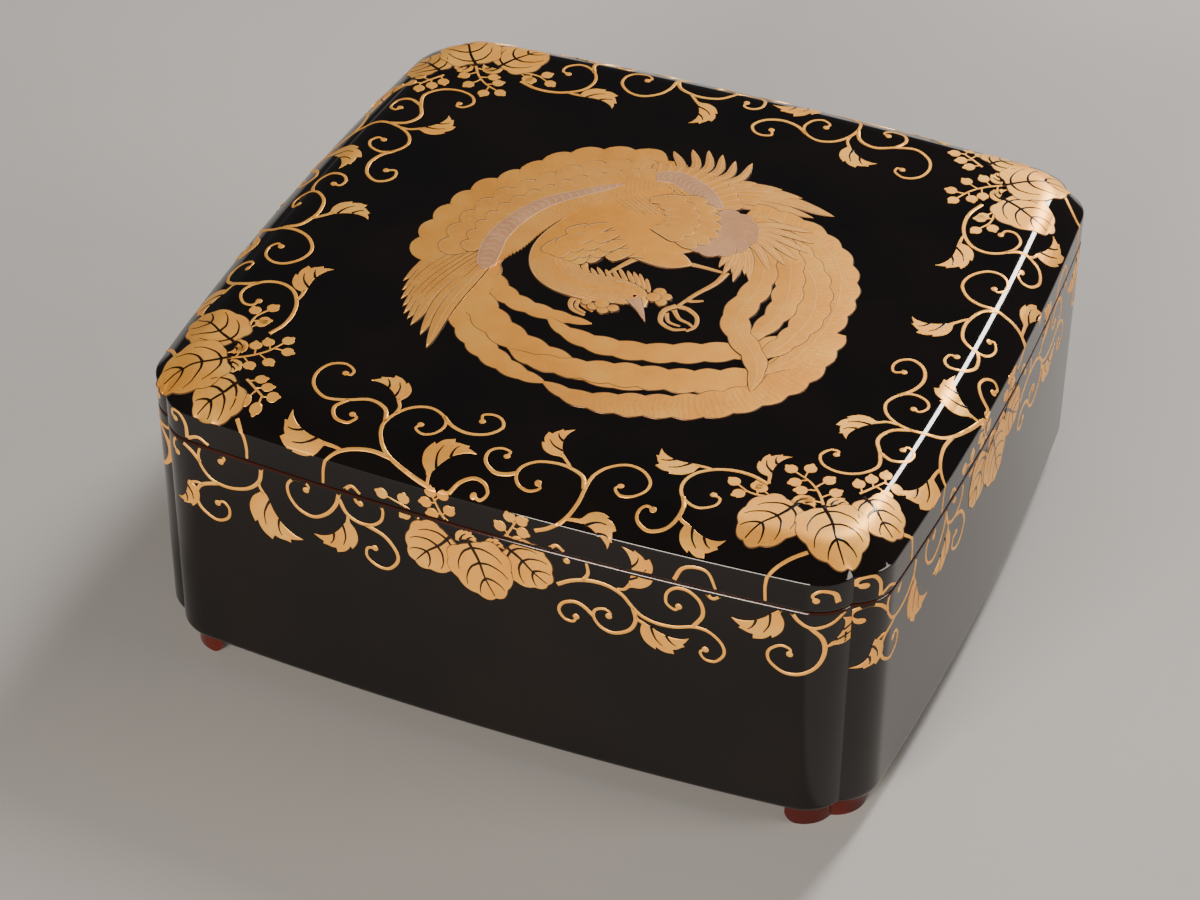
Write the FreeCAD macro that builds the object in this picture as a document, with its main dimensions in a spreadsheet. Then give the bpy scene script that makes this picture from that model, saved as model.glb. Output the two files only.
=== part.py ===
"""Large lidded lacquer tea box: bowed walls, two-lobed corners, a lid with a sloping shoulder.

The wooden core is built up from boards, carved corner blocks, a lip and four bracket feet.
Millimetres, +Z up, front face towards -Y, origin at the centre of the floor plane under the feet.
"""

import FreeCAD, Part
import math
import os
import re

import Sketcher

Vector = FreeCAD.Vector
UP = Vector(0, 0, 1)
DOC = FreeCAD.newDocument("TeaBox")

# The driving dimensions, in millimetres.
DIMENSIONS = {
    "half_width": 155.9,  # centre to the middle of the left and right faces
    "half_depth": 149.7,  # centre to the middle of the front and back faces
    "bow_radius": 1535.0,  # plan radius of the four bowed faces
    "lobe_radius": 18.4,  # the two rounded lobes of each corner
    "valley_x": 140.4,  # where the two lobes meet
    "valley_y": 133.6,
    "inner_half_width": 143.9,  # flat inner faces of the box
    "inner_half_depth": 137.2,
    "inner_corner": 27.0,
    "foot_height": 10.5,
    "body_height": 101.0,
    "bottom_thickness": 6.0,
    "band_height": 13.4,  # upright side of the lid
    "shoulder_rise": 10.6,  # sloping shoulder between the band and the flat top
    "shoulder_inset": 14.2,
    "ridge_corner": 20.0,  # plan radius of the flat top's corners
    "panel_thickness": 6.0,
    "lip_thickness": 3.0,
    "lip_above": 8.0,  # lip standing above the body's rim
    "lip_below": 25.0,
    "lip_clearance": 0.4,  # gap between lip and lid all round
    "lid_straight": 9.5,  # upright part of the lid's hollow
    "hollow_half_width": 135.6,  # the lid's hollow, under the top panel
    "hollow_half_depth": 129.0,
    "hollow_corner": 19.0,
    "foot_inset": 5.5,  # foot face behind the body's face
    "foot_reach": 15.5,  # foot's length each way from its valley
    "foot_width": 12.0,
    "foot_round": 5.0,
    "edge_round": 1.2,  # rounded rims at the seam and along the bottom
    "reach": 400.0,  # larger than the box, for the cutting blocks
}


def make_sheet():
    """The spreadsheet that every size is bound to."""
    sheet = DOC.addObject("Spreadsheet::Sheet", "Dimensions")
    for row, (alias, value) in enumerate(DIMENSIONS.items(), 1):
        sheet.set(f"A{row}", alias)
        sheet.set(f"B{row}", str(value))
        sheet.setAlias(f"B{row}", alias)
    DOC.recompute()
    return sheet


SHEET = make_sheet()


def size(alias):
    """The present value of a cell."""
    return float(SHEET.get(alias))


def bind(owner, **cells):
    """Binds properties of owner to expressions over the sheet's aliases.

    A double underscore in a property's name stands for a dot.
    """
    for name, text in cells.items():
        text = re.sub(r"[a-z]\w+", lambda word: f"Dimensions.{word.group()}", text)
        owner.setExpression(name.replace("__", "."), text)


def new_sketch(body, name, level):
    """A sketch parallel to the body's XY plane, at the height that the expression level gives."""
    sketch = body.newObject("Sketcher::SketchObject", name)
    plane = next(f for f in body.Origin.OriginFeatures if f.Role == "XY_Plane")
    sketch.AttachmentSupport = (plane, [""])
    sketch.MapMode = "FlatFace"
    bind(sketch, AttachmentOffset__Base__z=level)
    return sketch


def drive(sketch, constraint, text):
    """Adds a constraint whose value follows an expression over the sheet."""
    index = sketch.addConstraint(constraint)
    bind(sketch, **{f"Constraints[{index}]": text})


def arc(centre, radius, start, end):
    """An anticlockwise arc between the directions of two points seen from its centre."""
    first = math.atan2(start.y - centre.y, start.x - centre.x)
    last = math.atan2(end.y - centre.y, end.x - centre.x)
    if last < first:
        last += 2 * math.pi
    return Part.ArcOfCircle(Part.Circle(centre, UP, radius), first, last)


def circles_meet(centre_a, radius_a, centre_b, radius_b, near):
    """The crossing point of two circles that lies nearer to the point near."""
    across = centre_b - centre_a
    gap = across.Length
    along = (radius_a**2 - radius_b**2 + gap**2) / (2 * gap)
    height = math.sqrt(max(radius_a**2 - along**2, 0))
    across.normalize()
    side = Vector(-across.y, across.x, 0)
    ends = [centre_a + across * along + side * (s * height) for s in (1, -1)]
    return min(ends, key=lambda p: (p - near).Length)


def lobe_centres():
    """The centres of the front-right corner's two lobes, the front one first."""
    bow, lobe = size("bow_radius"), size("lobe_radius")
    valley = Vector(size("valley_x"), -size("valley_y"), 0)
    front = Vector(0, bow - size("half_depth"), 0)
    right = Vector(size("half_width") - bow, 0, 0)
    near = Vector(valley.x - lobe, valley.y + lobe, 0)
    return [circles_meet(c, bow - lobe, valley, lobe, near) for c in (front, right)]


def mirrored(point, corner):
    """A front-right point at corner 0 front-right, 1 back-right, 2 back-left or 3 front-left."""
    sign_x = 1 if corner in (0, 1) else -1
    sign_y = 1 if corner in (0, 3) else -1
    return Vector(sign_x * point.x, sign_y * point.y, 0)


def bowed_outline(sketch, inset, corner_centres, corner_radii, meeting, driven):
    """Four bowed sides and four corners of two arcs each, anticlockwise from the front side.

    corner_centres, corner_radii and meeting describe the front-right corner; driven maps the
    radius of the sides, of the corner arcs and the meeting point to expressions over the sheet.
    """
    bow = size("bow_radius") - inset
    offset_y = size("bow_radius") - size("half_depth")
    offset_x = size("bow_radius") - size("half_width")
    side_centres = [
        Vector(0, offset_y, 0),
        Vector(-offset_x, 0, 0),
        Vector(0, -offset_y, 0),
        Vector(offset_x, 0, 0),
    ]

    def touch(centre, side):
        """Where a corner arc joins its side."""
        out = centre - side_centres[side]
        out.normalize()
        return side_centres[side] + out * bow

    corners = []
    for corner in range(4):
        order = (0, 1) if corner in (0, 2) else (1, 0)
        corners.append([mirrored(corner_centres[k], corner) for k in order])
    for side in range(4):
        before, after = corners[side - 1][1], corners[side][0]
        sketch.addGeometry(
            arc(side_centres[side], bow, touch(before, side), touch(after, side))
        )
        point = mirrored(meeting, side)
        first, second = corners[side]
        sketch.addGeometry(arc(first, corner_radii, touch(first, side), point))
        sketch.addGeometry(
            arc(second, corner_radii, point, touch(second, (side + 1) % 4))
        )
    for side in range(4):
        edge, first, second, following = (3 * side + k for k in range(4))
        following %= 12
        sketch.addConstraint(Sketcher.Constraint("Tangent", edge, 2, first, 1))
        sketch.addConstraint(Sketcher.Constraint(driven["join"], first, 2, second, 1))
        sketch.addConstraint(Sketcher.Constraint("Tangent", second, 2, following, 1))
        axis = -2 if side in (0, 2) else -1
        sketch.addConstraint(Sketcher.Constraint("PointOnObject", edge, 3, axis))
        drive(sketch, Sketcher.Constraint("Radius", edge, bow), driven["side"])
        for corner_arc in (first, second):
            drive(
                sketch,
                Sketcher.Constraint("Radius", corner_arc, corner_radii),
                driven["corner"],
            )
        kind = "DistanceY" if side in (0, 2) else "DistanceX"
        half = "half_depth" if side in (0, 2) else "half_width"
        ends = (-1, 1, edge, 3) if side in (0, 3) else (edge, 3, -1, 1)
        gap = size("bow_radius") - size(half)
        drive(sketch, Sketcher.Constraint(kind, *ends, gap), f"bow_radius - {half}")
        if "meeting" in driven:
            point = mirrored(meeting, side)
            for kind, value, text in zip(
                ("DistanceX", "DistanceY"), (point.x, point.y), driven["meeting"]
            ):
                ends = (-1, 1, first, 2) if value > 0 else (first, 2, -1, 1)
                drive(sketch, Sketcher.Constraint(kind, *ends, abs(value)), text)


def lobed_outline(sketch):
    """The outside of the box in plan."""
    bowed_outline(
        sketch,
        0,
        lobe_centres(),
        size("lobe_radius"),
        Vector(size("valley_x"), -size("valley_y"), 0),
        {
            "join": "Coincident",
            "side": "bow_radius",
            "corner": "lobe_radius",
            "meeting": ("valley_x", "valley_y"),
        },
    )


def ridge_outline(sketch):
    """The edge of the lid's flat top in plan: bowed sides and plain round corners."""
    bow, inset, radius = (size(a) for a in ("bow_radius", "shoulder_inset", "ridge_corner"))
    front = Vector(0, bow - size("half_depth"), 0)
    right = Vector(size("half_width") - bow, 0, 0)
    reach = bow - inset - radius
    near = Vector(size("valley_x"), -size("valley_y"), 0)
    centre = circles_meet(front, reach, right, reach, near)
    meeting = centre + Vector(radius, -radius, 0) / math.sqrt(2)
    bowed_outline(
        sketch,
        inset,
        [centre, centre],
        radius,
        meeting,
        {"join": "Tangent", "side": "bow_radius - shoulder_inset", "corner": "ridge_corner"},
    )


def rounded_rectangle(sketch, half_x, half_y, radius, texts):
    """A rectangle with round corners, centred; texts are the three expressions that drive it."""
    corners = [(1, -1), (1, 1), (-1, 1), (-1, -1)]
    centres = [Vector(a * (half_x - radius), b * (half_y - radius), 0) for a, b in corners]
    across = [Vector(0, -radius, 0), Vector(radius, 0, 0), Vector(0, radius, 0), Vector(-radius, 0, 0)]
    for k, centre in enumerate(centres):
        start, end = centre + across[k], centre + across[(k + 1) % 4]
        sketch.addGeometry(Part.LineSegment(centres[k - 1] + across[k], start))
        sketch.addGeometry(arc(centre, radius, start, end))
    for k in range(4):
        line, bend, following = 2 * k, 2 * k + 1, (2 * k + 2) % 8
        sketch.addConstraint(Sketcher.Constraint("Tangent", line, 2, bend, 1))
        sketch.addConstraint(Sketcher.Constraint("Tangent", bend, 2, following, 1))
        drive(sketch, Sketcher.Constraint("Radius", bend, radius), texts[2])
        level = k in (0, 2)
        sketch.addConstraint(Sketcher.Constraint("Horizontal" if level else "Vertical", line))
        kind, value, text = ("DistanceY", half_y, texts[1]) if level else ("DistanceX", half_x, texts[0])
        ends = (line, 1, -1, 1) if k in (0, 3) else (-1, 1, line, 1)
        drive(sketch, Sketcher.Constraint(kind, *ends, value), text)


def padded(body, sketch, length):
    """Pads a sketch upwards by the length that the expression gives."""
    pad = body.newObject("PartDesign::Pad", f"{sketch.Name}_pad")
    pad.Profile = sketch
    bind(pad, Length=length)
    DOC.recompute()
    return pad


def rounded_prism(name, level, length, texts):
    """A plain block with round corners, used as a core, a cutter or a board."""
    body = DOC.addObject("PartDesign::Body", name)
    sketch = new_sketch(body, f"{name}_plan", level)
    values = [eval_size(text) for text in texts]
    rounded_rectangle(sketch, *values, texts)
    padded(body, sketch, length)
    return body


def eval_size(text):
    """The value of a sum or difference of aliases, for a sketch's first shape."""
    total, sign = 0.0, 1
    for word in text.split():
        if word in "+-":
            sign = 1 if word == "+" else -1
        else:
            total += sign * (size(word) if word in DIMENSIONS else float(word))
    return total


def boolean(kind, name, base, tool):
    """A Part boolean of two objects."""
    made = DOC.addObject(kind, name)
    made.Base, made.Tool = base, tool
    DOC.recompute()
    return made


SEAM = "foot_height + body_height"
LIP_TOP = "foot_height + body_height + lip_above"
PANEL_LEVEL = "foot_height + body_height + band_height + shoulder_rise - panel_thickness"


def body_shell():
    """The box's walls and corners as one ring, before it is split into boards and blocks."""
    outer = DOC.addObject("PartDesign::Body", "BodyOuter")
    sketch = new_sketch(outer, "BodyOuter_plan", "foot_height")
    lobed_outline(sketch)
    pad = padded(outer, sketch, "body_height")
    rims = []
    for number, edge in enumerate(pad.Shape.Edges, 1):
        low, high = edge.BoundBox.ZMin, edge.BoundBox.ZMax
        if high - low < 1e-3 and high < size("foot_height") + 1e-3:
            rims.append(f"Edge{number}")
    soft = outer.newObject("PartDesign::Chamfer", "BodyOuter_bottom_edge")
    soft.Base = (pad, rims)
    bind(soft, Size="edge_round")
    DOC.recompute()
    inner = rounded_prism(
        "BodyInner",
        "foot_height",
        "body_height",
        ("inner_half_width", "inner_half_depth", "inner_corner"),
    )
    return boolean("Part::Cut", "BodyShell", outer, inner)


def lid_shell():
    """The lid's rails and corners as one ring: an upright band and a sloping shoulder, hollow below."""
    band = DOC.addObject("PartDesign::Body", "LidBand")
    sketch = new_sketch(band, "LidBand_plan", SEAM)
    lobed_outline(sketch)
    padded(band, sketch, "band_height")

    shoulder = DOC.addObject("PartDesign::Body", "LidShoulder")
    low = new_sketch(shoulder, "LidShoulder_low", f"{SEAM} + band_height")
    lobed_outline(low)
    high = new_sketch(shoulder, "LidShoulder_high", f"{SEAM} + band_height + shoulder_rise")
    ridge_outline(high)
    DOC.recompute()
    loft = shoulder.newObject("PartDesign::AdditiveLoft", "LidShoulder_loft")
    loft.Profile, loft.Sections, loft.Ruled = low, [high], True
    DOC.recompute()
    outer = boolean("Part::Fuse", "LidOuter", band, shoulder)

    straight = rounded_prism(
        "LidHollowLow",
        SEAM,
        "lid_straight",
        (
            "inner_half_width + lip_clearance",
            "inner_half_depth + lip_clearance",
            "inner_corner + lip_clearance",
        ),
    )
    taper = DOC.addObject("PartDesign::Body", "LidHollowHigh")
    below = new_sketch(taper, "LidHollowHigh_low", f"{SEAM} + lid_straight")
    texts = (
        "inner_half_width + lip_clearance",
        "inner_half_depth + lip_clearance",
        "inner_corner + lip_clearance",
    )
    rounded_rectangle(below, *(eval_size(text) for text in texts), texts)
    above = new_sketch(taper, "LidHollowHigh_high", PANEL_LEVEL)
    texts = ("hollow_half_width", "hollow_half_depth", "hollow_corner")
    rounded_rectangle(above, *(eval_size(text) for text in texts), texts)
    DOC.recompute()
    loft = taper.newObject("PartDesign::AdditiveLoft", "LidHollowHigh_loft")
    loft.Profile, loft.Sections, loft.Ruled = below, [above], True
    DOC.recompute()
    hollow = boolean("Part::Fuse", "LidHollow", straight, taper)
    opened = boolean("Part::Cut", "LidOpened", outer, hollow)
    return boolean("Part::Cut", "LidShell", opened, PANEL)


def top_panel():
    """The lid's flat top board."""
    body = DOC.addObject("PartDesign::Body", "lid_top_panel")
    sketch = new_sketch(body, "lid_top_panel_plan", PANEL_LEVEL)
    ridge_outline(sketch)
    padded(body, sketch, "panel_thickness")
    return body


def lip_ring():
    """The lip as one ring, before it is split into strips."""
    level = "foot_height + body_height - lip_below"
    outer = rounded_prism(
        "LipOuter",
        level,
        "lip_below + lip_above",
        ("inner_half_width", "inner_half_depth", "inner_corner"),
    )
    inner = rounded_prism(
        "LipInner",
        level,
        "lip_below + lip_above",
        (
            "inner_half_width - lip_thickness",
            "inner_half_depth - lip_thickness",
            "inner_corner - lip_thickness",
        ),
    )
    return boolean("Part::Cut", "LipRing", outer, inner)


def cutting_block(name, low_x, low_y, span_x, span_y):
    """A tall block over one stretch of the walls; its plan is given by expressions."""
    block = DOC.addObject("Part::Box", name)
    bind(block, Length=span_x, Width=span_y, Height="reach")
    bind(block, Placement__Base__x=low_x, Placement__Base__y=low_y)
    return block


def cutting_blocks():
    """Eight blocks: four over the straight stretches and four over the corners."""
    joint_x = "inner_half_width - inner_corner"
    joint_y = "inner_half_depth - inner_corner"
    long_x, long_y = f"2 * ({joint_x})", f"2 * ({joint_y})"
    left, front = f"-({joint_x})", f"-({joint_y})"
    return {
        "front": cutting_block("ZoneFront", left, "-reach", long_x, "reach"),
        "back": cutting_block("ZoneBack", left, "0", long_x, "reach"),
        "left": cutting_block("ZoneLeft", "-reach", front, "reach", long_y),
        "right": cutting_block("ZoneRight", "0", front, "reach", long_y),
        "front_left": cutting_block(
            "ZoneFrontLeft", f"{left} - reach", f"{front} - reach", "reach", "reach"
        ),
        "front_right": cutting_block(
            "ZoneFrontRight", joint_x, f"{front} - reach", "reach", "reach"
        ),
        "back_left": cutting_block(
            "ZoneBackLeft", f"{left} - reach", joint_y, "reach", "reach"
        ),
        "back_right": cutting_block("ZoneBackRight", joint_x, joint_y, "reach", "reach"),
    }


def foot():
    """The front-right foot: a bracket that follows the corner's two lobes."""
    first, second = lobe_centres()
    radius = size("lobe_radius") - size("foot_inset")
    valley = Vector(size("valley_x"), -size("valley_y"), 0)
    notch = circles_meet(first, radius, second, radius, valley)
    reach, width = size("foot_reach"), size("foot_width")
    front_y, right_x = first.y - radius, second.x + radius
    start_x, end_y = notch.x - reach, notch.y + reach
    inner = Vector(right_x - width, front_y + width, 0)
    body = DOC.addObject("PartDesign::Body", "foot_front_right")
    sketch = new_sketch(body, "foot_plan", "0")
    points = [
        Vector(start_x, front_y, 0),
        Vector(first.x, front_y, 0),
        notch,
        Vector(right_x, second.y, 0),
        Vector(right_x, end_y, 0),
        Vector(inner.x, end_y, 0),
        inner,
        Vector(start_x, inner.y, 0),
    ]
    sketch.addGeometry(Part.LineSegment(points[0], points[1]))
    sketch.addGeometry(arc(first, radius, points[1], points[2]))
    sketch.addGeometry(arc(second, radius, points[2], points[3]))
    for k in range(3, 8):
        sketch.addGeometry(Part.LineSegment(points[k], points[(k + 1) % 8]))
    for k in range(8):
        kind = "Tangent" if k in (0, 2) else "Coincident"
        sketch.addConstraint(Sketcher.Constraint(kind, k, 2, (k + 1) % 8, 1))
    for k in (0, 4, 6):
        sketch.addConstraint(Sketcher.Constraint("Horizontal", k))
    for k in (3, 5, 7):
        sketch.addConstraint(Sketcher.Constraint("Vertical", k))
    for k in (1, 2):
        drive(sketch, Sketcher.Constraint("Radius", k, radius), "lobe_radius - foot_inset")
    drive(sketch, Sketcher.Constraint("DistanceX", 0, 1, 1, 2, reach), "foot_reach")
    drive(sketch, Sketcher.Constraint("DistanceY", 1, 2, 3, 2, reach), "foot_reach")
    drive(sketch, Sketcher.Constraint("DistanceX", 4, 2, 4, 1, width), "foot_width")
    drive(sketch, Sketcher.Constraint("DistanceY", 7, 2, 7, 1, width), "foot_width")
    pad = padded(body, sketch, "foot_height")
    ends = []
    for number, edge in enumerate(pad.Shape.Edges, 1):
        box = edge.BoundBox
        flat_low = box.ZMax < 1e-6
        at_end = box.XMax < start_x + 1e-3 or box.YMin > end_y - 1e-3
        if flat_low and at_end:
            ends.append(f"Edge{number}")
    soft = body.newObject("PartDesign::Fillet", "foot_ends")
    soft.Base = (pad, ends)
    bind(soft, Radius="foot_round")
    DOC.recompute()
    return body


def mirror(name, source, normal):
    """A mirrored copy through a plane at the origin."""
    copy = DOC.addObject("Part::Mirroring", name)
    copy.Source, copy.Base, copy.Normal = source, Vector(0, 0, 0), normal
    DOC.recompute()
    return copy


PANEL = top_panel()
zones = cutting_blocks()
DOC.recompute()
rings = {"body": body_shell(), "lid": lid_shell(), "lip": lip_ring()}
names = {
    "body": ("body_wall", "body_corner"),
    "lid": ("lid_rail", "lid_corner"),
    "lip": ("lip_strip", "lip_corner"),
}
pieces = {"lid_top_panel": PANEL}
for ring, (straight_name, corner_name) in names.items():
    for zone, block in zones.items():
        name = f"{corner_name if '_' in zone else straight_name}_{zone}"
        pieces[name] = boolean("Part::Common", name, rings[ring], block)
pieces["bottom_panel"] = rounded_prism(
    "bottom_panel",
    "foot_height",
    "bottom_thickness",
    ("inner_half_width", "inner_half_depth", "inner_corner"),
)
pieces["foot_front_right"] = foot()
pieces["foot_front_left"] = mirror("foot_front_left", pieces["foot_front_right"], Vector(1, 0, 0))
pieces["foot_back_right"] = mirror("foot_back_right", pieces["foot_front_right"], Vector(0, 1, 0))
pieces["foot_back_left"] = mirror("foot_back_left", pieces["foot_front_left"], Vector(0, 1, 0))
DOC.recompute()

for item in DOC.Objects:
    if "Invalid" in item.State or "Error" in item.State:
        raise RuntimeError(f"{item.Name} failed: {item.State}")
os.makedirs("parts", exist_ok=True)
for name, piece in pieces.items():
    piece.Label = name
    shape = piece.Shape
    if shape.isNull() or not shape.isValid() or not shape.Solids:
        raise RuntimeError(f"{name} has no valid solid")
    shape.exportStep(f"parts/{name}.step")
    box = shape.BoundBox
    print(
        f"{name}: {len(shape.Solids)} solid, {shape.Volume / 1000:.2f} cm3,"
        f" x {box.XMin:.1f}..{box.XMax:.1f} y {box.YMin:.1f}..{box.YMax:.1f} z {box.ZMin:.1f}..{box.ZMax:.1f}"
    )
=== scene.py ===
import math
from functools import partial

import bmesh
import bpy
import numpy as np
from mathutils import Matrix, Vector
from mathutils.bvhtree import BVHTree
from mathutils.geometry import tessellate_polygon


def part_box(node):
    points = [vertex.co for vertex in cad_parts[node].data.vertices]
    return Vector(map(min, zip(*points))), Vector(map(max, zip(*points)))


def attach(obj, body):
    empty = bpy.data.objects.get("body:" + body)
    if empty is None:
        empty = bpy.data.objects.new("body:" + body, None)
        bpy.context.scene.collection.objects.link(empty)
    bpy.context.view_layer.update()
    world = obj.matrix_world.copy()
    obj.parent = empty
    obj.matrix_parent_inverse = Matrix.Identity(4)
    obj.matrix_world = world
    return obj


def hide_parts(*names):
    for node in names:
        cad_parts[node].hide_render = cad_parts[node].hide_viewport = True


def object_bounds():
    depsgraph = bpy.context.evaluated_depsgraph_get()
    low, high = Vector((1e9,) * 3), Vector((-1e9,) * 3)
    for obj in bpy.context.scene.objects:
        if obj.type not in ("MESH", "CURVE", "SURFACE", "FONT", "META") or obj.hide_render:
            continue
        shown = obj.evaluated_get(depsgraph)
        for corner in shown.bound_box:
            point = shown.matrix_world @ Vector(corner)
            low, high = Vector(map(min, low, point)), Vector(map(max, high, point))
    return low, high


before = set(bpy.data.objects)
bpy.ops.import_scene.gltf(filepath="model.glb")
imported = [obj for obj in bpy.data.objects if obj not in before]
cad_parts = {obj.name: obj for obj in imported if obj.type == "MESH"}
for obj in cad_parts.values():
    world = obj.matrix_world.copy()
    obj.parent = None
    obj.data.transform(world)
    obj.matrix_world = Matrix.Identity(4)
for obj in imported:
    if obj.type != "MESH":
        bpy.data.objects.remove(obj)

MM = 0.001
cad_low, cad_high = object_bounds()

# Levels and half sizes in millimetres, all read from the frame.
HALF_X = cad_high[0] / MM
HALF_Y = cad_high[1] / MM
Z_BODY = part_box("body_wall_front")[0][2] / MM
Z_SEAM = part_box("body_wall_front")[1][2] / MM
RELIEF_ROOM = 1.2  # the top lies this much under the CAD height, so that the raised bird stays inside it
SKIN = 0.3  # the sides lie this much inside the CAD faces, for the thickness of the gold
Z_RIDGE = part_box("lid_top_panel")[1][2] / MM - RELIEF_ROOM
Z_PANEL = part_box("lid_top_panel")[0][2] / MM
RIDGE_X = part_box("lid_top_panel")[1][0] / MM
IN_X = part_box("bottom_panel")[1][0] / MM
IN_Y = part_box("bottom_panel")[1][1] / MM
BAND = 13.4  # height of the lid's upright band
Z_EDGE = Z_SEAM + BAND
SHOULDER = HALF_X - RIDGE_X
RISE = Z_RIDGE - Z_EDGE
SLOPE = math.hypot(SHOULDER, RISE)

# Plan of the box: bowed sides, and corners of two round lobes that meet in a valley.
BOW = 1535.0
LOBE = 18.4
VALLEY = np.array([140.4, -133.6])
RIDGE_ROUND = 20.0
IN_ROUND = 27.0
SIDE_STEPS = 60
LOBE_STEPS = 16


def turned(d):
    """A plan direction turned a quarter to the left."""
    return np.array([-d[1], d[0]])


def meet(c1, r1, c2, r2, near):
    """The crossing of two circles that is nearer to a point."""
    d = c2 - c1
    gap = np.hypot(*d)
    along = (r1 * r1 - r2 * r2 + gap * gap) / (2 * gap)
    high = math.sqrt(max(r1 * r1 - along * along, 0))
    d = d / gap
    n = turned(d)
    ends = [c1 + d * along + n * high, c1 + d * along - n * high]
    return min(ends, key=lambda p: np.hypot(*(p - near)))


FRONT_C = np.array([0, BOW - HALF_Y])
RIGHT_C = np.array([HALF_X - BOW, 0])
LOBE_F = meet(FRONT_C, BOW - LOBE, VALLEY, LOBE, VALLEY + (-LOBE, LOBE))
LOBE_R = meet(RIGHT_C, BOW - LOBE, VALLEY, LOBE, VALLEY + (-LOBE, LOBE))


def arc(centre, radius, start, end, steps):
    """Points on an anticlockwise arc between the directions of two points."""
    a0 = math.atan2(start[1] - centre[1], start[0] - centre[0])
    a1 = math.atan2(end[1] - centre[1], end[0] - centre[0])
    if a1 < a0:
        a1 += 2 * math.pi
    a = np.linspace(a0, a1, steps + 1)
    return np.stack([centre[0] + radius * np.cos(a), centre[1] + radius * np.sin(a)], 1)


def quarter(front_touch, right_touch, first, second, r, valley):
    """The front-right corner from the middle of the front to the middle of the right side."""
    front_bow = np.hypot(*(front_touch - FRONT_C))
    right_bow = np.hypot(*(right_touch - RIGHT_C))
    front_half = arc(FRONT_C, front_bow, np.array([0, -1e3]), front_touch, SIDE_STEPS)
    right_half = arc(RIGHT_C, right_bow, right_touch, np.array([1e3, 0]), SIDE_STEPS)
    a = arc(first, r, front_touch, valley, LOBE_STEPS)
    b = arc(second, r, valley, right_touch, LOBE_STEPS)
    return np.concatenate([front_half[:-1], a[:-1], b[:-1], right_half])


def around(q):
    """The whole outline from its front-right quarter, anticlockwise from the front's middle."""
    back = q[::-1][1:-1] * (1, -1)
    left = q * (-1, -1)
    front = q[::-1][1:] * (-1, 1)
    return np.concatenate([q, back, left, front])[:-1]


def touch(centre, side_c, radius):
    """Where a corner's circle touches a side's circle."""
    d = centre - side_c
    return side_c + d / np.hypot(*d) * radius


def lobed():
    """The outside of the box: bowed sides and two-lobed corners."""
    front, right = touch(LOBE_F, FRONT_C, BOW), touch(LOBE_R, RIGHT_C, BOW)
    return around(quarter(front, right, LOBE_F, LOBE_R, LOBE, VALLEY))


def plain(inset, radius):
    """Bowed sides and plain round corners, inset from the outside."""
    reach = BOW - inset - radius
    c = meet(FRONT_C, reach, RIGHT_C, reach, VALLEY)
    mid = c + radius * np.array([1, -1]) / math.sqrt(2)
    front, right = touch(c, FRONT_C, reach + radius), touch(c, RIGHT_C, reach + radius)
    return around(quarter(front, right, c, c, radius, mid))


def straight(hx, hy, r):
    """A rectangle with round corners, with as many points as the other outlines."""
    c = np.array([hx - r, -(hy - r)])
    xs = np.linspace(0, hx - r, SIDE_STEPS + 1)
    ys = np.linspace(-(hy - r), 0, SIDE_STEPS + 1)
    a = np.linspace(-math.pi / 2, 0, 2 * LOBE_STEPS + 1)
    corner = np.stack([c[0] + r * np.cos(a), c[1] + r * np.sin(a)], 1)
    front = np.stack([xs, np.full_like(xs, -hy)], 1)
    right = np.stack([np.full_like(ys, hx), ys], 1)
    return around(np.concatenate([front[:-1], corner[:-1], right]))


OUTER = lobed()
RIDGE = plain(SHOULDER, RIDGE_ROUND)
COUNT = len(OUTER)


def normals2(p):
    """Outward normals of a closed anticlockwise outline."""
    t = np.roll(p, -1, 0) - np.roll(p, 1, 0)
    n = np.stack([t[:, 1], -t[:, 0]], 1)
    return n / np.linalg.norm(n, axis=1, keepdims=True)


OUTER_N = normals2(OUTER)
OUTER = OUTER - OUTER_N * SKIN


def inset_outer(d):
    return OUTER - OUTER_N * d


def add_object(name, data):
    obj = bpy.data.objects.new(name, data)
    bpy.context.scene.collection.objects.link(obj)
    return obj


def mesh_object(name, verts, faces, material, body, sharp=None):
    """A smooth-shaded piece from millimetre vertices; edges sharper than an angle in degrees stay crisp."""
    mesh = bpy.data.meshes.new(name)
    mesh.from_pydata([tuple(v) for v in np.asarray(verts) * MM], [], faces)
    mesh.validate()
    mesh.materials.append(material)
    mesh.polygons.foreach_set("use_smooth", [True] * len(mesh.polygons))
    if sharp:
        mesh.set_sharp_from_angle(angle=math.radians(sharp))
    obj = add_object(name, mesh)
    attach(obj, body)
    return obj


def ring_quads(count, n):
    """Quads between rings of n points each, numbered one ring after another."""
    quads = []
    for k in range(count - 1):
        for i in range(n):
            j = (i + 1) % n
            quads.append((k * n + i, k * n + j, (k + 1) * n + j, (k + 1) * n + i))
    return quads


def fan(first, n, tip):
    """Triangles from a ring that starts at vertex first to a tip."""
    return [(first + i, first + (i + 1) % n, tip) for i in range(n)]


def lift(plan, z):
    """A plan outline as a ring at a level."""
    return np.concatenate([plan, np.full((len(plan), 1), float(z))], 1)


# ---------------------------------------------------------------- materials


def node_material(name):
    m = bpy.data.materials.new(name)
    m.use_nodes = True
    return m, m.node_tree.nodes, m.node_tree.links, m.node_tree.nodes["Principled BSDF"]


def noise(nodes, links, coord, scale, detail, rough=0.5):
    n = nodes.new("ShaderNodeTexNoise")
    n.inputs["Scale"].default_value = scale
    n.inputs["Detail"].default_value = detail
    n.inputs["Roughness"].default_value = rough
    links.new(coord.outputs["Object"], n.inputs["Vector"])
    return n


def ramp(nodes, links, source, stops):
    r = nodes.new("ShaderNodeValToRGB")
    r.color_ramp.elements[0].position, r.color_ramp.elements[0].color = stops[0]
    r.color_ramp.elements[1].position, r.color_ramp.elements[1].color = stops[-1]
    for pos, col in stops[1:-1]:
        r.color_ramp.elements.new(pos).color = col
    links.new(source, r.inputs["Fac"])
    return r


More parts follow.
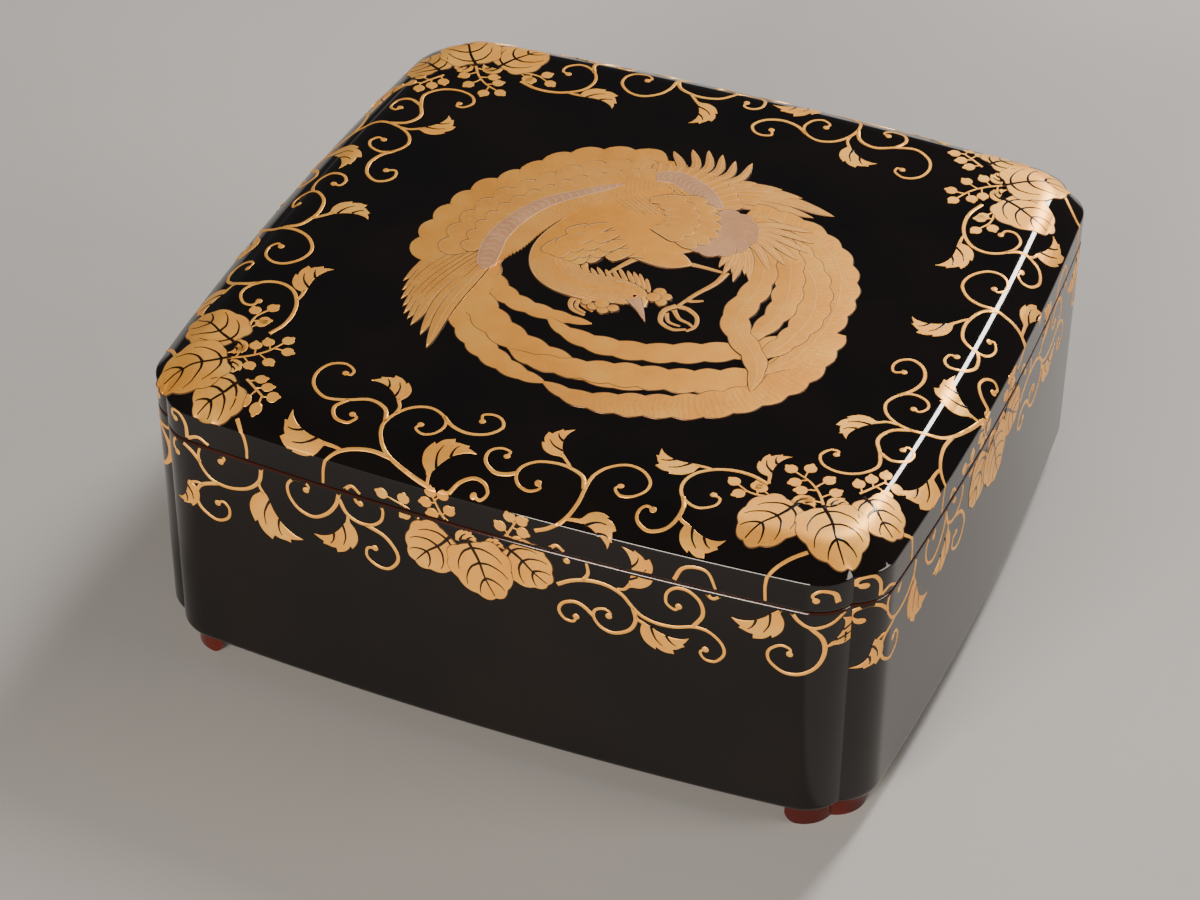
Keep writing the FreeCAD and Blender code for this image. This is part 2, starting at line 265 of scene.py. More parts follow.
def grey(v):
    return (v, v, v, 1)


def bump(nodes, links, bsdf, source, strength, distance):
    node = nodes.new("ShaderNodeBump")
    node.inputs["Strength"].default_value = strength
    node.inputs["Distance"].default_value = distance
    links.new(source.outputs["Fac"], node.inputs["Height"])
    links.new(node.outputs["Normal"], bsdf.inputs["Normal"])


def lacquer(name, deep, warm, rough=0.035):
    """Polished lacquer: nearly black and mirror smooth, with a warm undertone and faint rubbing marks."""
    m, nodes, links, bsdf = node_material(name)
    coord = nodes.new("ShaderNodeTexCoord")
    cloud = noise(nodes, links, coord, 22, 4)
    tone = ramp(nodes, links, cloud.outputs["Fac"], [(0.35, deep + (1,)), (0.75, warm + (1,))])
    links.new(tone.outputs["Color"], bsdf.inputs["Base Color"])
    rub = noise(nodes, links, coord, 300, 5, 0.7)
    polish = ramp(nodes, links, rub.outputs["Fac"], [(0.3, grey(rough)), (0.8, grey(rough * 2.2))])
    links.new(polish.outputs["Color"], bsdf.inputs["Roughness"])
    bump(nodes, links, bsdf, noise(nodes, links, coord, 9, 2), 0.02, 0.002)
    bsdf.inputs["IOR"].default_value = 1.46
    return m


GRAIN = 0.35  # share of the fine powder grain in the gold's change of tone
# painted highlight colour for the pale lines on raised gold, then painted shadow colour for its dark edge
# lines
PAINTED_HIGHLIGHT_LINE = (1.0, 0.74, 0.40, 1)
PAINTED_SHADOW_LINE = (0.10, 0.045, 0.02, 1)


def gold(name, low, mid, high, metallic, rough, pale=PAINTED_HIGHLIGHT_LINE):
    """Gold powder set in lacquer: satin and finely grained. The mesh attribute "edge" paints light and
    shade into it:
    0 is plain gold, 0.5 a pale line of painted highlight and 1 a dark line of painted shadow."""
    m, nodes, links, bsdf = node_material(name)
    coord = nodes.new("ShaderNodeTexCoord")
    patch = noise(nodes, links, coord, 55, 4, 0.6)
    powder = noise(nodes, links, coord, 2600, 2, 0.6)
    mix = nodes.new("ShaderNodeMath")
    mix.operation = "MULTIPLY_ADD"
    mix.inputs[1].default_value = GRAIN
    links.new(powder.outputs["Fac"], mix.inputs[0])
    scale = nodes.new("ShaderNodeMath")
    scale.operation = "MULTIPLY"
    scale.inputs[1].default_value = 1 - GRAIN
    links.new(patch.outputs["Fac"], scale.inputs[0])
    links.new(scale.outputs[0], mix.inputs[2])
    tone = ramp(nodes, links, mix.outputs[0], [(0.32, low + (1,)), (0.5, mid + (1,)), (0.68, high + (1,))])
    edge = nodes.new("ShaderNodeAttribute")
    edge.attribute_name = "edge"
    # pale lines are painted highlight and dark lines painted shadow, mixed over the gold's tone by the
    # "edge" attribute
    line = ramp(
        nodes, links, edge.outputs["Fac"], [(0.0, grey(0)), (0.45, pale), (0.62, pale), (0.8, PAINTED_SHADOW_LINE)],
    )
    amount = ramp(
        nodes, links, edge.outputs["Fac"],
        [(0.0, grey(0)), (0.5, grey(0.5)), (0.62, grey(0.5)), (0.8, grey(0.96))],
    )
    painted_light_mix = nodes.new("ShaderNodeMix")
    painted_light_mix.data_type = "RGBA"
    links.new(amount.outputs["Color"], painted_light_mix.inputs["Factor"])
    links.new(tone.outputs["Color"], painted_light_mix.inputs["A"])
    links.new(line.outputs["Color"], painted_light_mix.inputs["B"])
    links.new(painted_light_mix.outputs["Result"], bsdf.inputs["Base Color"])
    polish = ramp(
        nodes, links, powder.outputs["Fac"], [(0.3, grey(rough - 0.06)), (0.7, grey(rough + 0.08))],
    )
    links.new(polish.outputs["Color"], bsdf.inputs["Roughness"])
    bump(nodes, links, bsdf, powder, 0.25, 0.0001)
    bsdf.inputs["Metallic"].default_value = metallic
    return m


BLACK = lacquer("black_lacquer_polished", (0.0035, 0.003, 0.003), (0.0065, 0.0045, 0.004))
INSIDE = lacquer("black_lacquer_inside", (0.004, 0.0035, 0.0035), (0.008, 0.006, 0.005), rough=0.09)
RED = lacquer("red_lacquer_feet", (0.035, 0.004, 0.003), (0.085, 0.010, 0.006), rough=0.07)
BROWN = lacquer("brown_lacquer_rims", (0.03, 0.008, 0.005), (0.055, 0.015, 0.009), rough=0.06)
GOLD = gold(
    "gold_powder_flat", (0.90, 0.37, 0.05), (1.0, 0.46, 0.075), (1.0, 0.57, 0.13), metallic=0.55,
    rough=0.42,
)
RELIEF = gold(
    "gold_relief", (0.86, 0.34, 0.05), (0.98, 0.42, 0.065), (1.0, 0.52, 0.11), metallic=0.7, rough=0.38,
)
# the silver mauve's pale lines are a painted highlight in a paler mauve
MAUVE = gold(
    "silver_mauve_relief", (0.48, 0.22, 0.10), (0.58, 0.29, 0.14), (0.68, 0.38, 0.20), metallic=0.5,
    rough=0.4, pale=(0.80, 0.56, 0.42, 1),
)
EYE = lacquer("red_lacquer_eye", (0.03, 0.004, 0.003), (0.06, 0.006, 0.004), rough=0.1)
VEIN = lacquer("black_lacquer_veins", (0.006, 0.004, 0.003), (0.02, 0.01, 0.006), rough=0.15)

# ---------------------------------------------------------------- the lacquered box and lid

RIM = 1.15  # roundness of the two edges at the seam
Z_BOX_TOP = Z_SEAM - 0.05
Z_LID_BASE = Z_SEAM + 0.1
BOTTOM_ROUND = 3.2
RIDGE_CUT = 4.6  # how far the soft ridge reaches to each side of its corner
LID_GAP = 0.4  # between the lip and the lid
LID_STRAIGHT = 9.5  # the lid's inner wall is upright this far above the seam
HOLLOW = straight(135.6, 129.0, 19.0)  # the lid's inside under its top board
CROWN = 0.25  # the lid's top rises this much towards its middle
CRISP = 28  # degrees


def box_skin():
    """The box's outside, from the inner edge of its rim down and in to the bottom."""
    inner = straight(IN_X, IN_Y, IN_ROUND)
    rings = [lift(p, Z_BOX_TOP) for p in (inner, inset_outer(RIM + 1.2), inset_outer(RIM + 0.2))]
    for a in np.linspace(0, math.pi / 2, 7):
        rings.append(lift(inset_outer(RIM * (1 - math.sin(a))), Z_BOX_TOP - RIM * (1 - math.cos(a))))
    rings.append(lift(OUTER, Z_SEAM - RIM - 0.6))
    for z in np.linspace(Z_SEAM - 4, Z_BODY + 8, 7):
        rings.append(lift(OUTER, z))
    rings.append(lift(OUTER, Z_BODY + BOTTOM_ROUND + 0.6))
    for a in np.linspace(0, math.pi / 2, 8):
        inset, up = BOTTOM_ROUND * (1 - math.cos(a)), BOTTOM_ROUND * (1 - math.sin(a))
        rings.append(lift(inset_outer(inset), Z_BODY + up))
    rings.append(lift(inset_outer(BOTTOM_ROUND + 0.6), Z_BODY))
    rings += [lift(inner, z) for z in (Z_BODY, Z_BODY + 1, Z_SEAM - 1)]
    faces = ring_quads(len(rings), COUNT)
    last = (len(rings) - 1) * COUNT
    faces += [(last + i, last + (i + 1) % COUNT, (i + 1) % COUNT, i) for i in range(COUNT)]
    faces = [f[::-1] for f in faces]
    return mesh_object("box_lacquer_shell", np.concatenate(rings), faces, BLACK, "box", sharp=CRISP)


def shoulder_profile():
    """(inset, height above the shoulder edge) from the crisp edge over the soft ridge onto the flat top."""
    edge = 0.7
    run = np.array([SHOULDER, RISE]) / SLOPE
    out = turned(run)
    points = []
    for t in np.linspace(0, 1, 4):
        a = np.array([0, -edge]) * (1 - t) ** 2 + run * edge * t * t
        points.append(a)
    for t in (0.12, 0.3, 0.5, 0.7, 0.88):
        s = edge + (SLOPE - RIDGE_CUT - edge) * t
        points.append(run * s + out * 0.55 * math.sin(math.pi * t))
    start = run * (SLOPE - RIDGE_CUT)
    corner = np.array([SHOULDER, RISE])
    end = corner + (RIDGE_CUT, 0.0)
    for t in np.linspace(0, 1, 11):
        points.append(start * (1 - t) ** 2 + 2 * corner * t * (1 - t) + end * t * t)
    return points


def plan_at(d):
    """The plan outline at an inset: it changes from the lobed outline to the ridge's plain one."""
    if d <= 0:
        return OUTER
    if d <= SHOULDER:
        t = d / SHOULDER
        return OUTER * (1 - t) + RIDGE * t
    return RIDGE * (1 - (d - SHOULDER) / RIDGE_X)


def lid_skin():
    """The lid's whole skin, from the middle of its hollow round the rim to the middle of its top."""
    inner = straight(IN_X + LID_GAP, IN_Y + LID_GAP, IN_ROUND + LID_GAP)
    rings = [lift(HOLLOW * 0.5, Z_PANEL), lift(HOLLOW, Z_PANEL), lift(inner, Z_SEAM + LID_STRAIGHT)]
    rings += [lift(p, Z_LID_BASE) for p in (inner, inset_outer(RIM + 1.0), inset_outer(RIM + 0.2))]
    for a in np.linspace(0, math.pi / 2, 7):
        rings.append(lift(inset_outer(RIM * (1 - math.sin(a))), Z_LID_BASE + RIM * (1 - math.cos(a))))
    rings += [lift(OUTER, z) for z in (Z_LID_BASE + RIM + 0.5, Z_EDGE - 3.0, Z_EDGE - 1.1)]
    for d, h in shoulder_profile():
        rings.append(lift(plan_at(d), Z_EDGE + h))
    first = SHOULDER + RIDGE_CUT
    for s in np.linspace(0, 1, 22)[1:]:
        d = first + (RIDGE_X - first - 6) * s
        rings.append(lift(plan_at(d), Z_RIDGE + CROWN * (1 - (1 - s) ** 2)))
    count = len(rings) * COUNT
    faces = ring_quads(len(rings), COUNT)
    faces += [f[::-1] for f in fan(0, COUNT, count)] + fan(count - COUNT, COUNT, count + 1)
    verts = np.concatenate(rings + [[(0, 0, Z_PANEL), (0, 0, Z_RIDGE + CROWN)]])
    return mesh_object("lid_lacquer_shell", verts, faces, BLACK, "lid", sharp=CRISP)


shell = box_skin()
lid = lid_skin()


def rim_line(name, z_rim, bend, body):
    """A thin red-brown line where the polish is worn through along a rim; bend is -1 below the seam."""
    proud = 0.02
    rings = []
    for a in np.linspace(0.5, 1.15, 5):
        inset, off = RIM * (1 - math.sin(a)) - proud, RIM * (1 - math.cos(a)) - proud
        rings.append(lift(inset_outer(inset), z_rim + bend * off))
    verts = np.concatenate(rings[::bend])
    line = mesh_object(name, verts, ring_quads(len(rings), COUNT), BROWN, body)


rim_line("box_rim_line", Z_BOX_TOP, -1, "box")
rim_line("lid_rim_line", Z_LID_BASE, 1, "lid")
SIDES = ("front", "back", "left", "right")
CORNERS = ("front_left", "front_right", "back_left", "back_right")
walls = [f"body_wall_{s}" for s in SIDES] + [f"body_corner_{c}" for c in CORNERS]
rails = [f"lid_rail_{s}" for s in SIDES] + [f"lid_corner_{c}" for c in CORNERS]
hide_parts(*walls)
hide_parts("lid_top_panel", *rails)
for node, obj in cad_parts.items():
    paint = RED if node.startswith("foot") else INSIDE
    obj.data.materials.clear()
    obj.data.materials.append(paint)

# ---------------------------------------------------------------- laying gold on the lacquer

lid_polygons = [p.vertices for p in lid.data.polygons]
lid_tree = BVHTree.FromPolygons([v.co for v in lid.data.vertices], lid_polygons)
ABOVE = 0.3  # metres, higher than the lid


def on_lid(x, y, height):
    """The point over plan (x, y) on the lid's upper side, height above the lacquer."""
    hit, normal, _, _ = lid_tree.ray_cast(Vector((x * MM, y * MM, ABOVE)), Vector((0, 0, -1)))
    if hit is None:
        return np.array([x, y, Z_EDGE])
    return np.array(hit + normal * height * MM) / MM


def side_out(a, side):
    """A side's face at a distance along it from its middle: place along, distance out, and normal."""
    if side in ("front", "back"):
        half, along, deep, end = HALF_Y, LOBE_F[0], -LOBE_F[1], VALLEY[0]
        start = touch(LOBE_F, FRONT_C, BOW)[0]
    else:
        half, along, deep, end = HALF_X, -LOBE_R[1], LOBE_R[0], -VALLEY[1]
        start = -touch(LOBE_R, RIGHT_C, BOW)[1]
    s = min(abs(a), end)
    if s <= start:
        out = half - (BOW - math.sqrt(BOW * BOW - s * s))
        slope = s / math.sqrt(BOW * BOW - s * s)
    else:
        dx = s - along
        root = math.sqrt(max(LOBE * LOBE - dx * dx, 1e-9))
        out = deep + root
        slope = dx / root
    sign = 1 if a >= 0 else -1
    n = np.array([sign * slope, 1.0])
    return sign * s, out, n / np.linalg.norm(n)


def to_world(along, out, side):
    """Plan x and y of a place on a side."""
    places = {"front": (along, -out), "back": (-along, out), "right": (out, along), "left": (-out, -along)}
    return places[side]


DRIFT = 8.0  # on the left and right the border's middle lies this much nearer its start
DRIFT_REACH = 110.0
DRIFT_MIDDLE = -20.0
GOLD_THICKNESS = 0.8  # on the upright faces, as a share of its thickness on the lid


def on_side(a, h, height, side):
    """A point on the wrapped border: a along the side, h up the surface from the seam."""
    if side in ("right", "left"):
        off = min(max(a - DRIFT_MIDDLE, -DRIFT_REACH), DRIFT_REACH) / DRIFT_REACH
        a = a - DRIFT * math.cos(off * math.pi / 2)
    s, out, n = side_out(a, side)
    if h < BAND:
        rise = height * GOLD_THICKNESS - SKIN
        x, y = to_world(s + n[0] * rise, out + n[1] * rise, side)
        return np.array([x, y, Z_SEAM + h])
    inset = (h - BAND) * SHOULDER / SLOPE if h < BAND + SLOPE else SHOULDER + h - BAND - SLOPE
    x, y = to_world(s, out - inset, side)
    return on_lid(x, y, height)


def spline(points, step=0.8):
    """A smooth curve through points (Catmull-Rom), evenly spaced."""
    p = np.array(points, float)
    p = np.concatenate([[2 * p[0] - p[1]], p, [2 * p[-1] - p[-2]]])
    out = []
    for k in range(1, len(p) - 2):
        t = np.linspace(0, 1, 24, endpoint=False)[:, None]
        a, b, c, d = p[k - 1 : k + 3]
        square, cube = 2 * a - 5 * b + 4 * c - d, 3 * b - a - 3 * c + d
        out.append(0.5 * (2 * b + (c - a) * t + square * t**2 + cube * t**3))
    out = np.concatenate(out + [p[-2:-1]])
    seg = np.hypot(*np.diff(out, axis=0).T)
    s = np.concatenate([[0], np.cumsum(seg)])
    n = max(3, int(s[-1] / step) + 1)
    at = np.linspace(0, s[-1], n)
    return np.stack([np.interp(at, s, out[:, 0]), np.interp(at, s, out[:, 1])], 1)


def directions(path):
    """Unit vectors along a path and to its left."""
    t = np.gradient(path, axis=0)
    t /= np.maximum(np.linalg.norm(t, axis=1, keepdims=True), 1e-9)
    return t, np.stack([-t[:, 1], t[:, 0]], 1)


CUT_SHIFT = 0.013  # keeps the grid's cuts off the drawing's own points


class Sheet:
    """Collects flat drawing as vertices (u, v, height), faces and the tones of its painted highlight and
    shadow lines, to be laid on later.
    """

    def __init__(self):
        self.v = []
        self.f = []
        self.e = []

    def add(self, verts, faces, edge=None):
        base = len(self.v)
        self.v += [tuple(p) for p in verts]
        self.e += [0.0] * len(verts) if edge is None else [float(q) for q in edge]
        self.f += [tuple(base + i for i in f) for f in faces]

    def ribbon(self, path, half, height=0.16, low=0.0):
        """A raised line along a path; half is the half-width at each point."""
        n = directions(path)[1]
        half = np.broadcast_to(half, len(path))[:, None]
        rows = []
        for side, z in ((1, low), (0.72, height), (-0.72, height), (-1, low)):
            q = path + n * half * side
            rows.append(np.concatenate([q, np.full((len(q), 1), z)], 1))
        m = len(path)
        faces = []
        for r in range(3):
            for i in range(m - 1):
                faces.append((r * m + i, r * m + i + 1, (r + 1) * m + i + 1, (r + 1) * m + i)[::-1])
        self.add(np.concatenate(rows), faces)

    def dot(self, centre, radius, height=0.2, steps=14):
        """A round, domed button."""
        a = np.linspace(0, 2 * math.pi, steps, endpoint=False)
        ring = np.stack([np.cos(a), np.sin(a)], 1)
        c = np.asarray(centre)
        verts = []
        for r, z in ((1, 0.0), (0.86, height * 0.8), (0.5, height)):
            verts += [(c[0] + x * radius * r, c[1] + y * radius * r, z) for x, y in ring]
        verts.append((c[0], c[1], height * 1.05))
        self.add(verts, ring_quads(3, steps) + fan(2 * steps, steps, 3 * steps))

    def plate(self, outline, height=0.16, grid=2.5, rim=0.0):
        """A filled outline with a low bevelled edge, cut on a grid so that it can bend with the surface;
        rim is the width of a dark line of painted shadow round it."""
        p = np.asarray(outline, float)
        area = 0.5 * np.sum(p[:, 0] * np.roll(p[:, 1], -1) - np.roll(p[:, 0], -1) * p[:, 1])
        if area < 0:
            p = p[::-1]
        n = len(p)
        bevel, fade = 0.16, 0.08
        # the third value is the edge tone; 1.0 paints the rim's dark line of painted shadow
        insets = [(0.0, 0.0, 1.0 if rim else 0.0), (bevel, height, 1.0 if rim else 0.0)]
        if rim:
            insets += [(bevel + rim, height, 1.0), (bevel + rim + fade, height, 0.0)]
        bm = bmesh.new()
        tone = bm.verts.layers.float.new("edge")
        rings = []
        for inset, z, shade in insets:
            ring = [bm.verts.new((x, y, z)) for x, y in p - normals2(p) * inset]
            for v in ring:
                v[tone] = shade
            rings.append(ring)
        for low, top in zip(rings, rings[1:]):
            for i in range(n):
                j = (i + 1) % n
                bm.faces.new((low[i], low[j], top[j], top[i]))
        top = rings[-1]
        for tri in tessellate_polygon([[Vector((v.co.x, v.co.y, 0)) for v in top]]):
            f = bm.faces.new([top[i] for i in tri])
            f.normal_update()
            if f.normal.z < 0:
                f.normal_flip()
        for axis in (0, 1):
            values = p[:, axis]
            for at in np.arange(math.ceil(values.min() / grid) * grid, values.max(), grid):
                co, no = [0, 0, 0], [0, 0, 0]
                co[axis], no[axis] = at + CUT_SHIFT, 1
                geom = bm.verts[:] + bm.edges[:] + bm.faces[:]
                bmesh.ops.bisect_plane(bm, geom=geom, plane_co=co, plane_no=no, dist=1e-5)
        bm.verts.ensure_lookup_table()
        bm.verts.index_update()
        verts = [tuple(v.co) for v in bm.verts]
        shades = [v[tone] for v in bm.verts]
        faces = [tuple(v.index for v in f.verts) for f in bm.faces]
        bm.free()
        self.add(verts, faces, shades)


def lay(name, sheet, mapping, material, body, keep=None, smooth=35):
    """Lays a sheet on a surface; keep picks the vertices that belong to this piece."""
    flat = np.array(sheet.v)
    edge = np.array(sheet.e)
    faces = sheet.f
    if keep is not None:
        good = keep(flat)
        faces = [f for f in faces if all(good[i] for i in f)]
        used = sorted({i for f in faces for i in f})
        index = {old: new for new, old in enumerate(used)}
        faces = [tuple(index[i] for i in f) for f in faces]
        flat = flat[used]
        edge = edge[used]
    verts = [mapping(u, v, h) for u, v, h in flat]
    obj = mesh_object(name, verts, faces, material, body, sharp=smooth)
    # the edge tones carry the painted highlight and painted shadow lines into the mesh
    tone = obj.data.attributes.new("edge", "FLOAT", "POINT")
    tone.data.foreach_set("value", edge)
    return obj


# ---------------------------------------------------------------- the drawing's elements


def vine(sheet, points, ball):
    """A tendril: it thins towards its curl and ends in a round head at the last point."""
    path = spline(points)
    sheet.ribbon(path, np.linspace(0.85, 0.55, len(path)))
    if ball:
        sheet.dot(path[-1], 1.35)


def leaf_frame(base, tip, bulge=1):
    """A function that places (share along, share across) of a leaf, and the leaf's length."""
    base, tip = np.array(base, float), np.array(tip, float)
    ahead = tip - base
    across = turned(ahead) * bulge
    return lambda s, w: base + ahead * s + across * w, np.hypot(*ahead)


def small_leaf(gold_sheet, vein_sheet, root, base, tip, bulge):
    """A sickle-shaped leaf: a hollow inner edge, three teeth outside and two slits that open inside."""
    base = np.array(base, float)
    place, length = leaf_frame(base, tip, bulge)
    outline = []
    for stretch in (
        [(0.0, 0.02), (0.0, 0.22), (0.09, 0.40), (0.22, 0.50), (0.37, 0.56)],
        [(0.37, 0.49), (0.48, 0.54), (0.60, 0.555), (0.76, 0.52)],
        [(0.72, 0.42), (0.80, 0.38), (0.88, 0.30), (0.95, 0.24)],
        [(0.90, 0.20), (0.96, 0.10), (1.01, -0.02)],
    ):
        outline += list(spline([place(*q) for q in stretch], 0.7))
    inner = [(1.01, -0.02), (0.86, 0.07), (0.62, 0.115), (0.36, 0.07), (0.14, -0.02), (-0.02, -0.04)]
    outline += list(spline([place(*q) for q in inner], 0.7))[1:]
    gold_sheet.plate(outline, grid=3.0)
    bow = (base - np.array(root))[::-1] * (0.08, -0.08)
    stalk = spline([root, (np.array(root) + base) / 2 + bow, place(1.5 / length, 0)])
    gold_sheet.ribbon(stalk, np.linspace(0.55, 0.75, len(stalk)))
    for slit in (
        [(0.20, -0.01), (0.25, 0.13), (0.34, 0.28), (0.50, 0.41)],
        [(0.53, 0.10), (0.60, 0.19), (0.69, 0.26), (0.78, 0.29)],
    ):
        line = spline([place(*q) for q in slit], 0.7)
        vein_sheet.ribbon(line, np.linspace(0.62, 0.18, len(line)), height=0.22, low=0.17)


def big_leaf(gold_sheet, vein_sheet, base, tip, width, level, wobble=0.0):
    """A broad heart-shaped leaf with a lobed edge and a full set of veins."""
    place, scale = leaf_frame(base, tip)
    lobes, middle = 9, 0.47
    height = 0.16 + 0.07 * level
    outline = []
    for t in np.linspace(0, 2 * math.pi, 110, endpoint=False):
        ripple = 1 + 0.075 * abs(math.cos((t + wobble) * lobes / 2)) - 0.045
        notch = sum(0.09 * math.exp(-((q / 0.33) ** 2)) for q in (t, 2 * math.pi - t))
        s = middle - 0.53 * math.cos(t) * ripple + notch
        w = math.sin(t) * (0.5 + 0.10 * math.cos(t)) * ripple
        outline.append(place(s, w * width / scale))
    # rim gives the leaf a dark line of painted shadow round its edge
    gold_sheet.plate(outline, height=height, rim=0.22)

    def vein(points, start, end):
        line = spline([place(s, w * width / scale) for s, w in points], 0.8)
        half = np.linspace(start, end, len(line))
        vein_sheet.ribbon(line, half, height=height + 0.05, low=height + 0.01)

    vein([(-0.03, 0), (0.3, 0.02), (0.62, -0.015), (0.93, 0)], 0.8, 0.24)
    for s, e, reach in ((0.1, 0.42, 0.36), (0.36, 0.68, 0.34), (0.62, 0.86, 0.2)):
        for w in (-reach, reach):
            vein([(s, 0), (s + 0.05, w * 0.45), ((s + e) / 2 + 0.03, w * 0.85), (e, w)], 0.6, 0.16)


def bud(sheet, centre, away):
    """A round bud with a pinched crown."""
    size = 2.5
    c = np.array(centre, float)
    d = np.array(away, float)
    d /= np.hypot(*d)
    n = turned(d)
    outline = []
    for t in np.linspace(0, 2 * math.pi, 36, endpoint=False):
        turn = math.atan2(math.sin(t), math.cos(t))
        crown, pinch = math.exp(-((turn / 0.3) ** 2)), math.exp(-(((abs(turn) - 0.55) / 0.2) ** 2))
        r = size * (1 + 0.26 * crown - 0.10 * pinch)
        outline.append(c + d * r * math.cos(t) + n * r * math.sin(t))
    sheet.plate(outline, grid=3.0)


def spray(sheet, stem, buds):
    """A branched spray: each bud is (place along the stem 0..1, sideways distance, forward distance)."""
    path = spline(stem, 0.6)
    sheet.ribbon(path, np.linspace(0.6, 0.35, len(path)), height=0.12)
    total = len(path) - 1
    for at, across, ahead in buds:
        k = min(int(at * total), total - 1)
        p, d = path[k], path[k + 1] - path[k]
        d = d / np.hypot(*d)
        c = p + turned(d) * across + d * ahead
        away = c - p
        if np.hypot(*away) < 0.2:
            away = d
        sheet.ribbon(spline([p, (p + c) / 2 + d * 0.2, c]), 0.33, height=0.12)
        bud(sheet, c, away)


# The border is one drawing that runs along all four sides; (along, up the surface from the seam).
LID_VINES = [
    [
        (-48.5, 36), (-52, 43), (-59.5, 45.5), (-68, 41.5), (-76, 39.5), (-83, 44), (-85.5, 51),
        (-83.5, 58), (-78, 61.2), (-73.2, 59), (-73, 55.8), (-75.3, 56),
    ],
    [(-67, 42), (-70, 36), (-67.5, 31), (-62, 30.2), (-59.4, 33.5), (-61.8, 34.8)],
    [
        (-21, 14.6), (-30, 17), (-40, 21), (-45.5, 26), (-48.6, 34), (-47, 42), (-42.5, 48.2), (-36, 50.7),
        (-29.5, 48), (-26.8, 43), (-28.5, 37.5), (-32.5, 35.2), (-36.3, 37.2), (-35.5, 40),
    ],
    [
        (-29.5, 48), (-24, 44), (-17, 42.5), (-10, 45), (-6.5, 50.5), (-8.5, 55), (-12.5, 56.5),
        (-16.3, 54.8), (-15, 51.2),
    ],
    [(9, 29.5), (5, 27.5), (0, 27.2), (-4.6, 31), (-5.2, 36.3), (-2, 39.4), (2, 38.8), (2, 35.8)],
    [
        (21.5, 8), (27, 11), (32.5, 16.5), (35, 23), (35.6, 31), (36, 38), (39, 44), (45, 48),
        (51.5, 46.9), (56.4, 42), (57, 36.5), (54, 32.2), (49, 31), (46, 33.6), (47.4, 35.6),
    ],
    [
        (35.2, 30), (32.5, 35.5), (27, 38.3), (21, 39.2), (14, 37.5), (9.7, 33), (8.8, 28.5), (11, 24.6),
        (15.5, 23.2), (19.3, 25.3), (17.9, 27.4),
    ],
    [
        (97, 55.5), (90, 58.4), (83, 59), (76, 57.2), (70, 52.5), (67.8, 46), (69.5, 39.5), (74, 35.2),
        (79, 34.2), (83.4, 37.5), (83.6, 41.5), (80.6, 43),
    ],
    [
        (70.8, 38), (72.9, 33), (72.6, 27.5), (69.8, 22), (64, 19.6), (59, 22), (57.8, 26.2), (60, 29.4),
        (62.8, 28.4),
    ],
    [(122.5, 25.5), (117, 21), (112, 15), (110.6, 9), (110.8, 1.6)],
    [(-104.5, 18), (-100.7, 13), (-99.3, 7), (-99.3, 1.6)],
    [(-40, 21), (-49, 21.6), (-58, 19.2), (-63.5, 15), (-65.6, 9.5), (-66.2, 1.6)],
    [(-13.5, 14.6), (-10.5, 19.5), (-6, 22.4), (-1.5, 21.4), (1, 18), (-1, 15.2), (-4, 16)],
    [(76.2, 1.6), (79, 7.5), (84, 9.6), (89, 8.4), (92, 1.6)],
    [(-126, 2), (-126.3, 8), (-129, 12.2), (-132.6, 12.2), (-133.4, 9.6), (-131.6, 8.6)],
    [(136.8, 4.5), (135.5, 9), (131.4, 10.6), (128.2, 8.4), (129.6, 6)],
]
LID_OPEN = (9, 10, 11, 13)  # these run on over the seam and have no head
LID_ARCS = [
    [(-57, 1.6), (-54, 4.2), (-50.5, 1.6)],
    [(27.5, 1.6), (30, 3.6), (33, 1.6)],
    [(-125.5, 2), (-121, 3.8), (-116.5, 1.6)],
]
FRONT_LEAF = ((97, 55.8), (95, 60), (99.3, 73.8), 1)  # beside the front-right cluster only
LID_LEAVES = [
    ((-47.3, 42), (-48.6, 50), (-64, 56.5), -1),
    ((-60, 18.6), (-67, 18.4), (-84.5, 28.3), 1),
    ((-22.5, 14.8), (-24.5, 19.5), (-9.2, 32.8), 1),
    ((26.4, 38.6), (20.2, 43.4), (18.8, 60), 1),
    ((33, 16.6), (38.5, 18.2), (50.2, 8.4), 1),
    ((75, 56.9), (69.8, 56.6), (53, 61.6), 1),
    ((73, 28.6), (76, 25.6), (92.4, 22.6), -1),
]
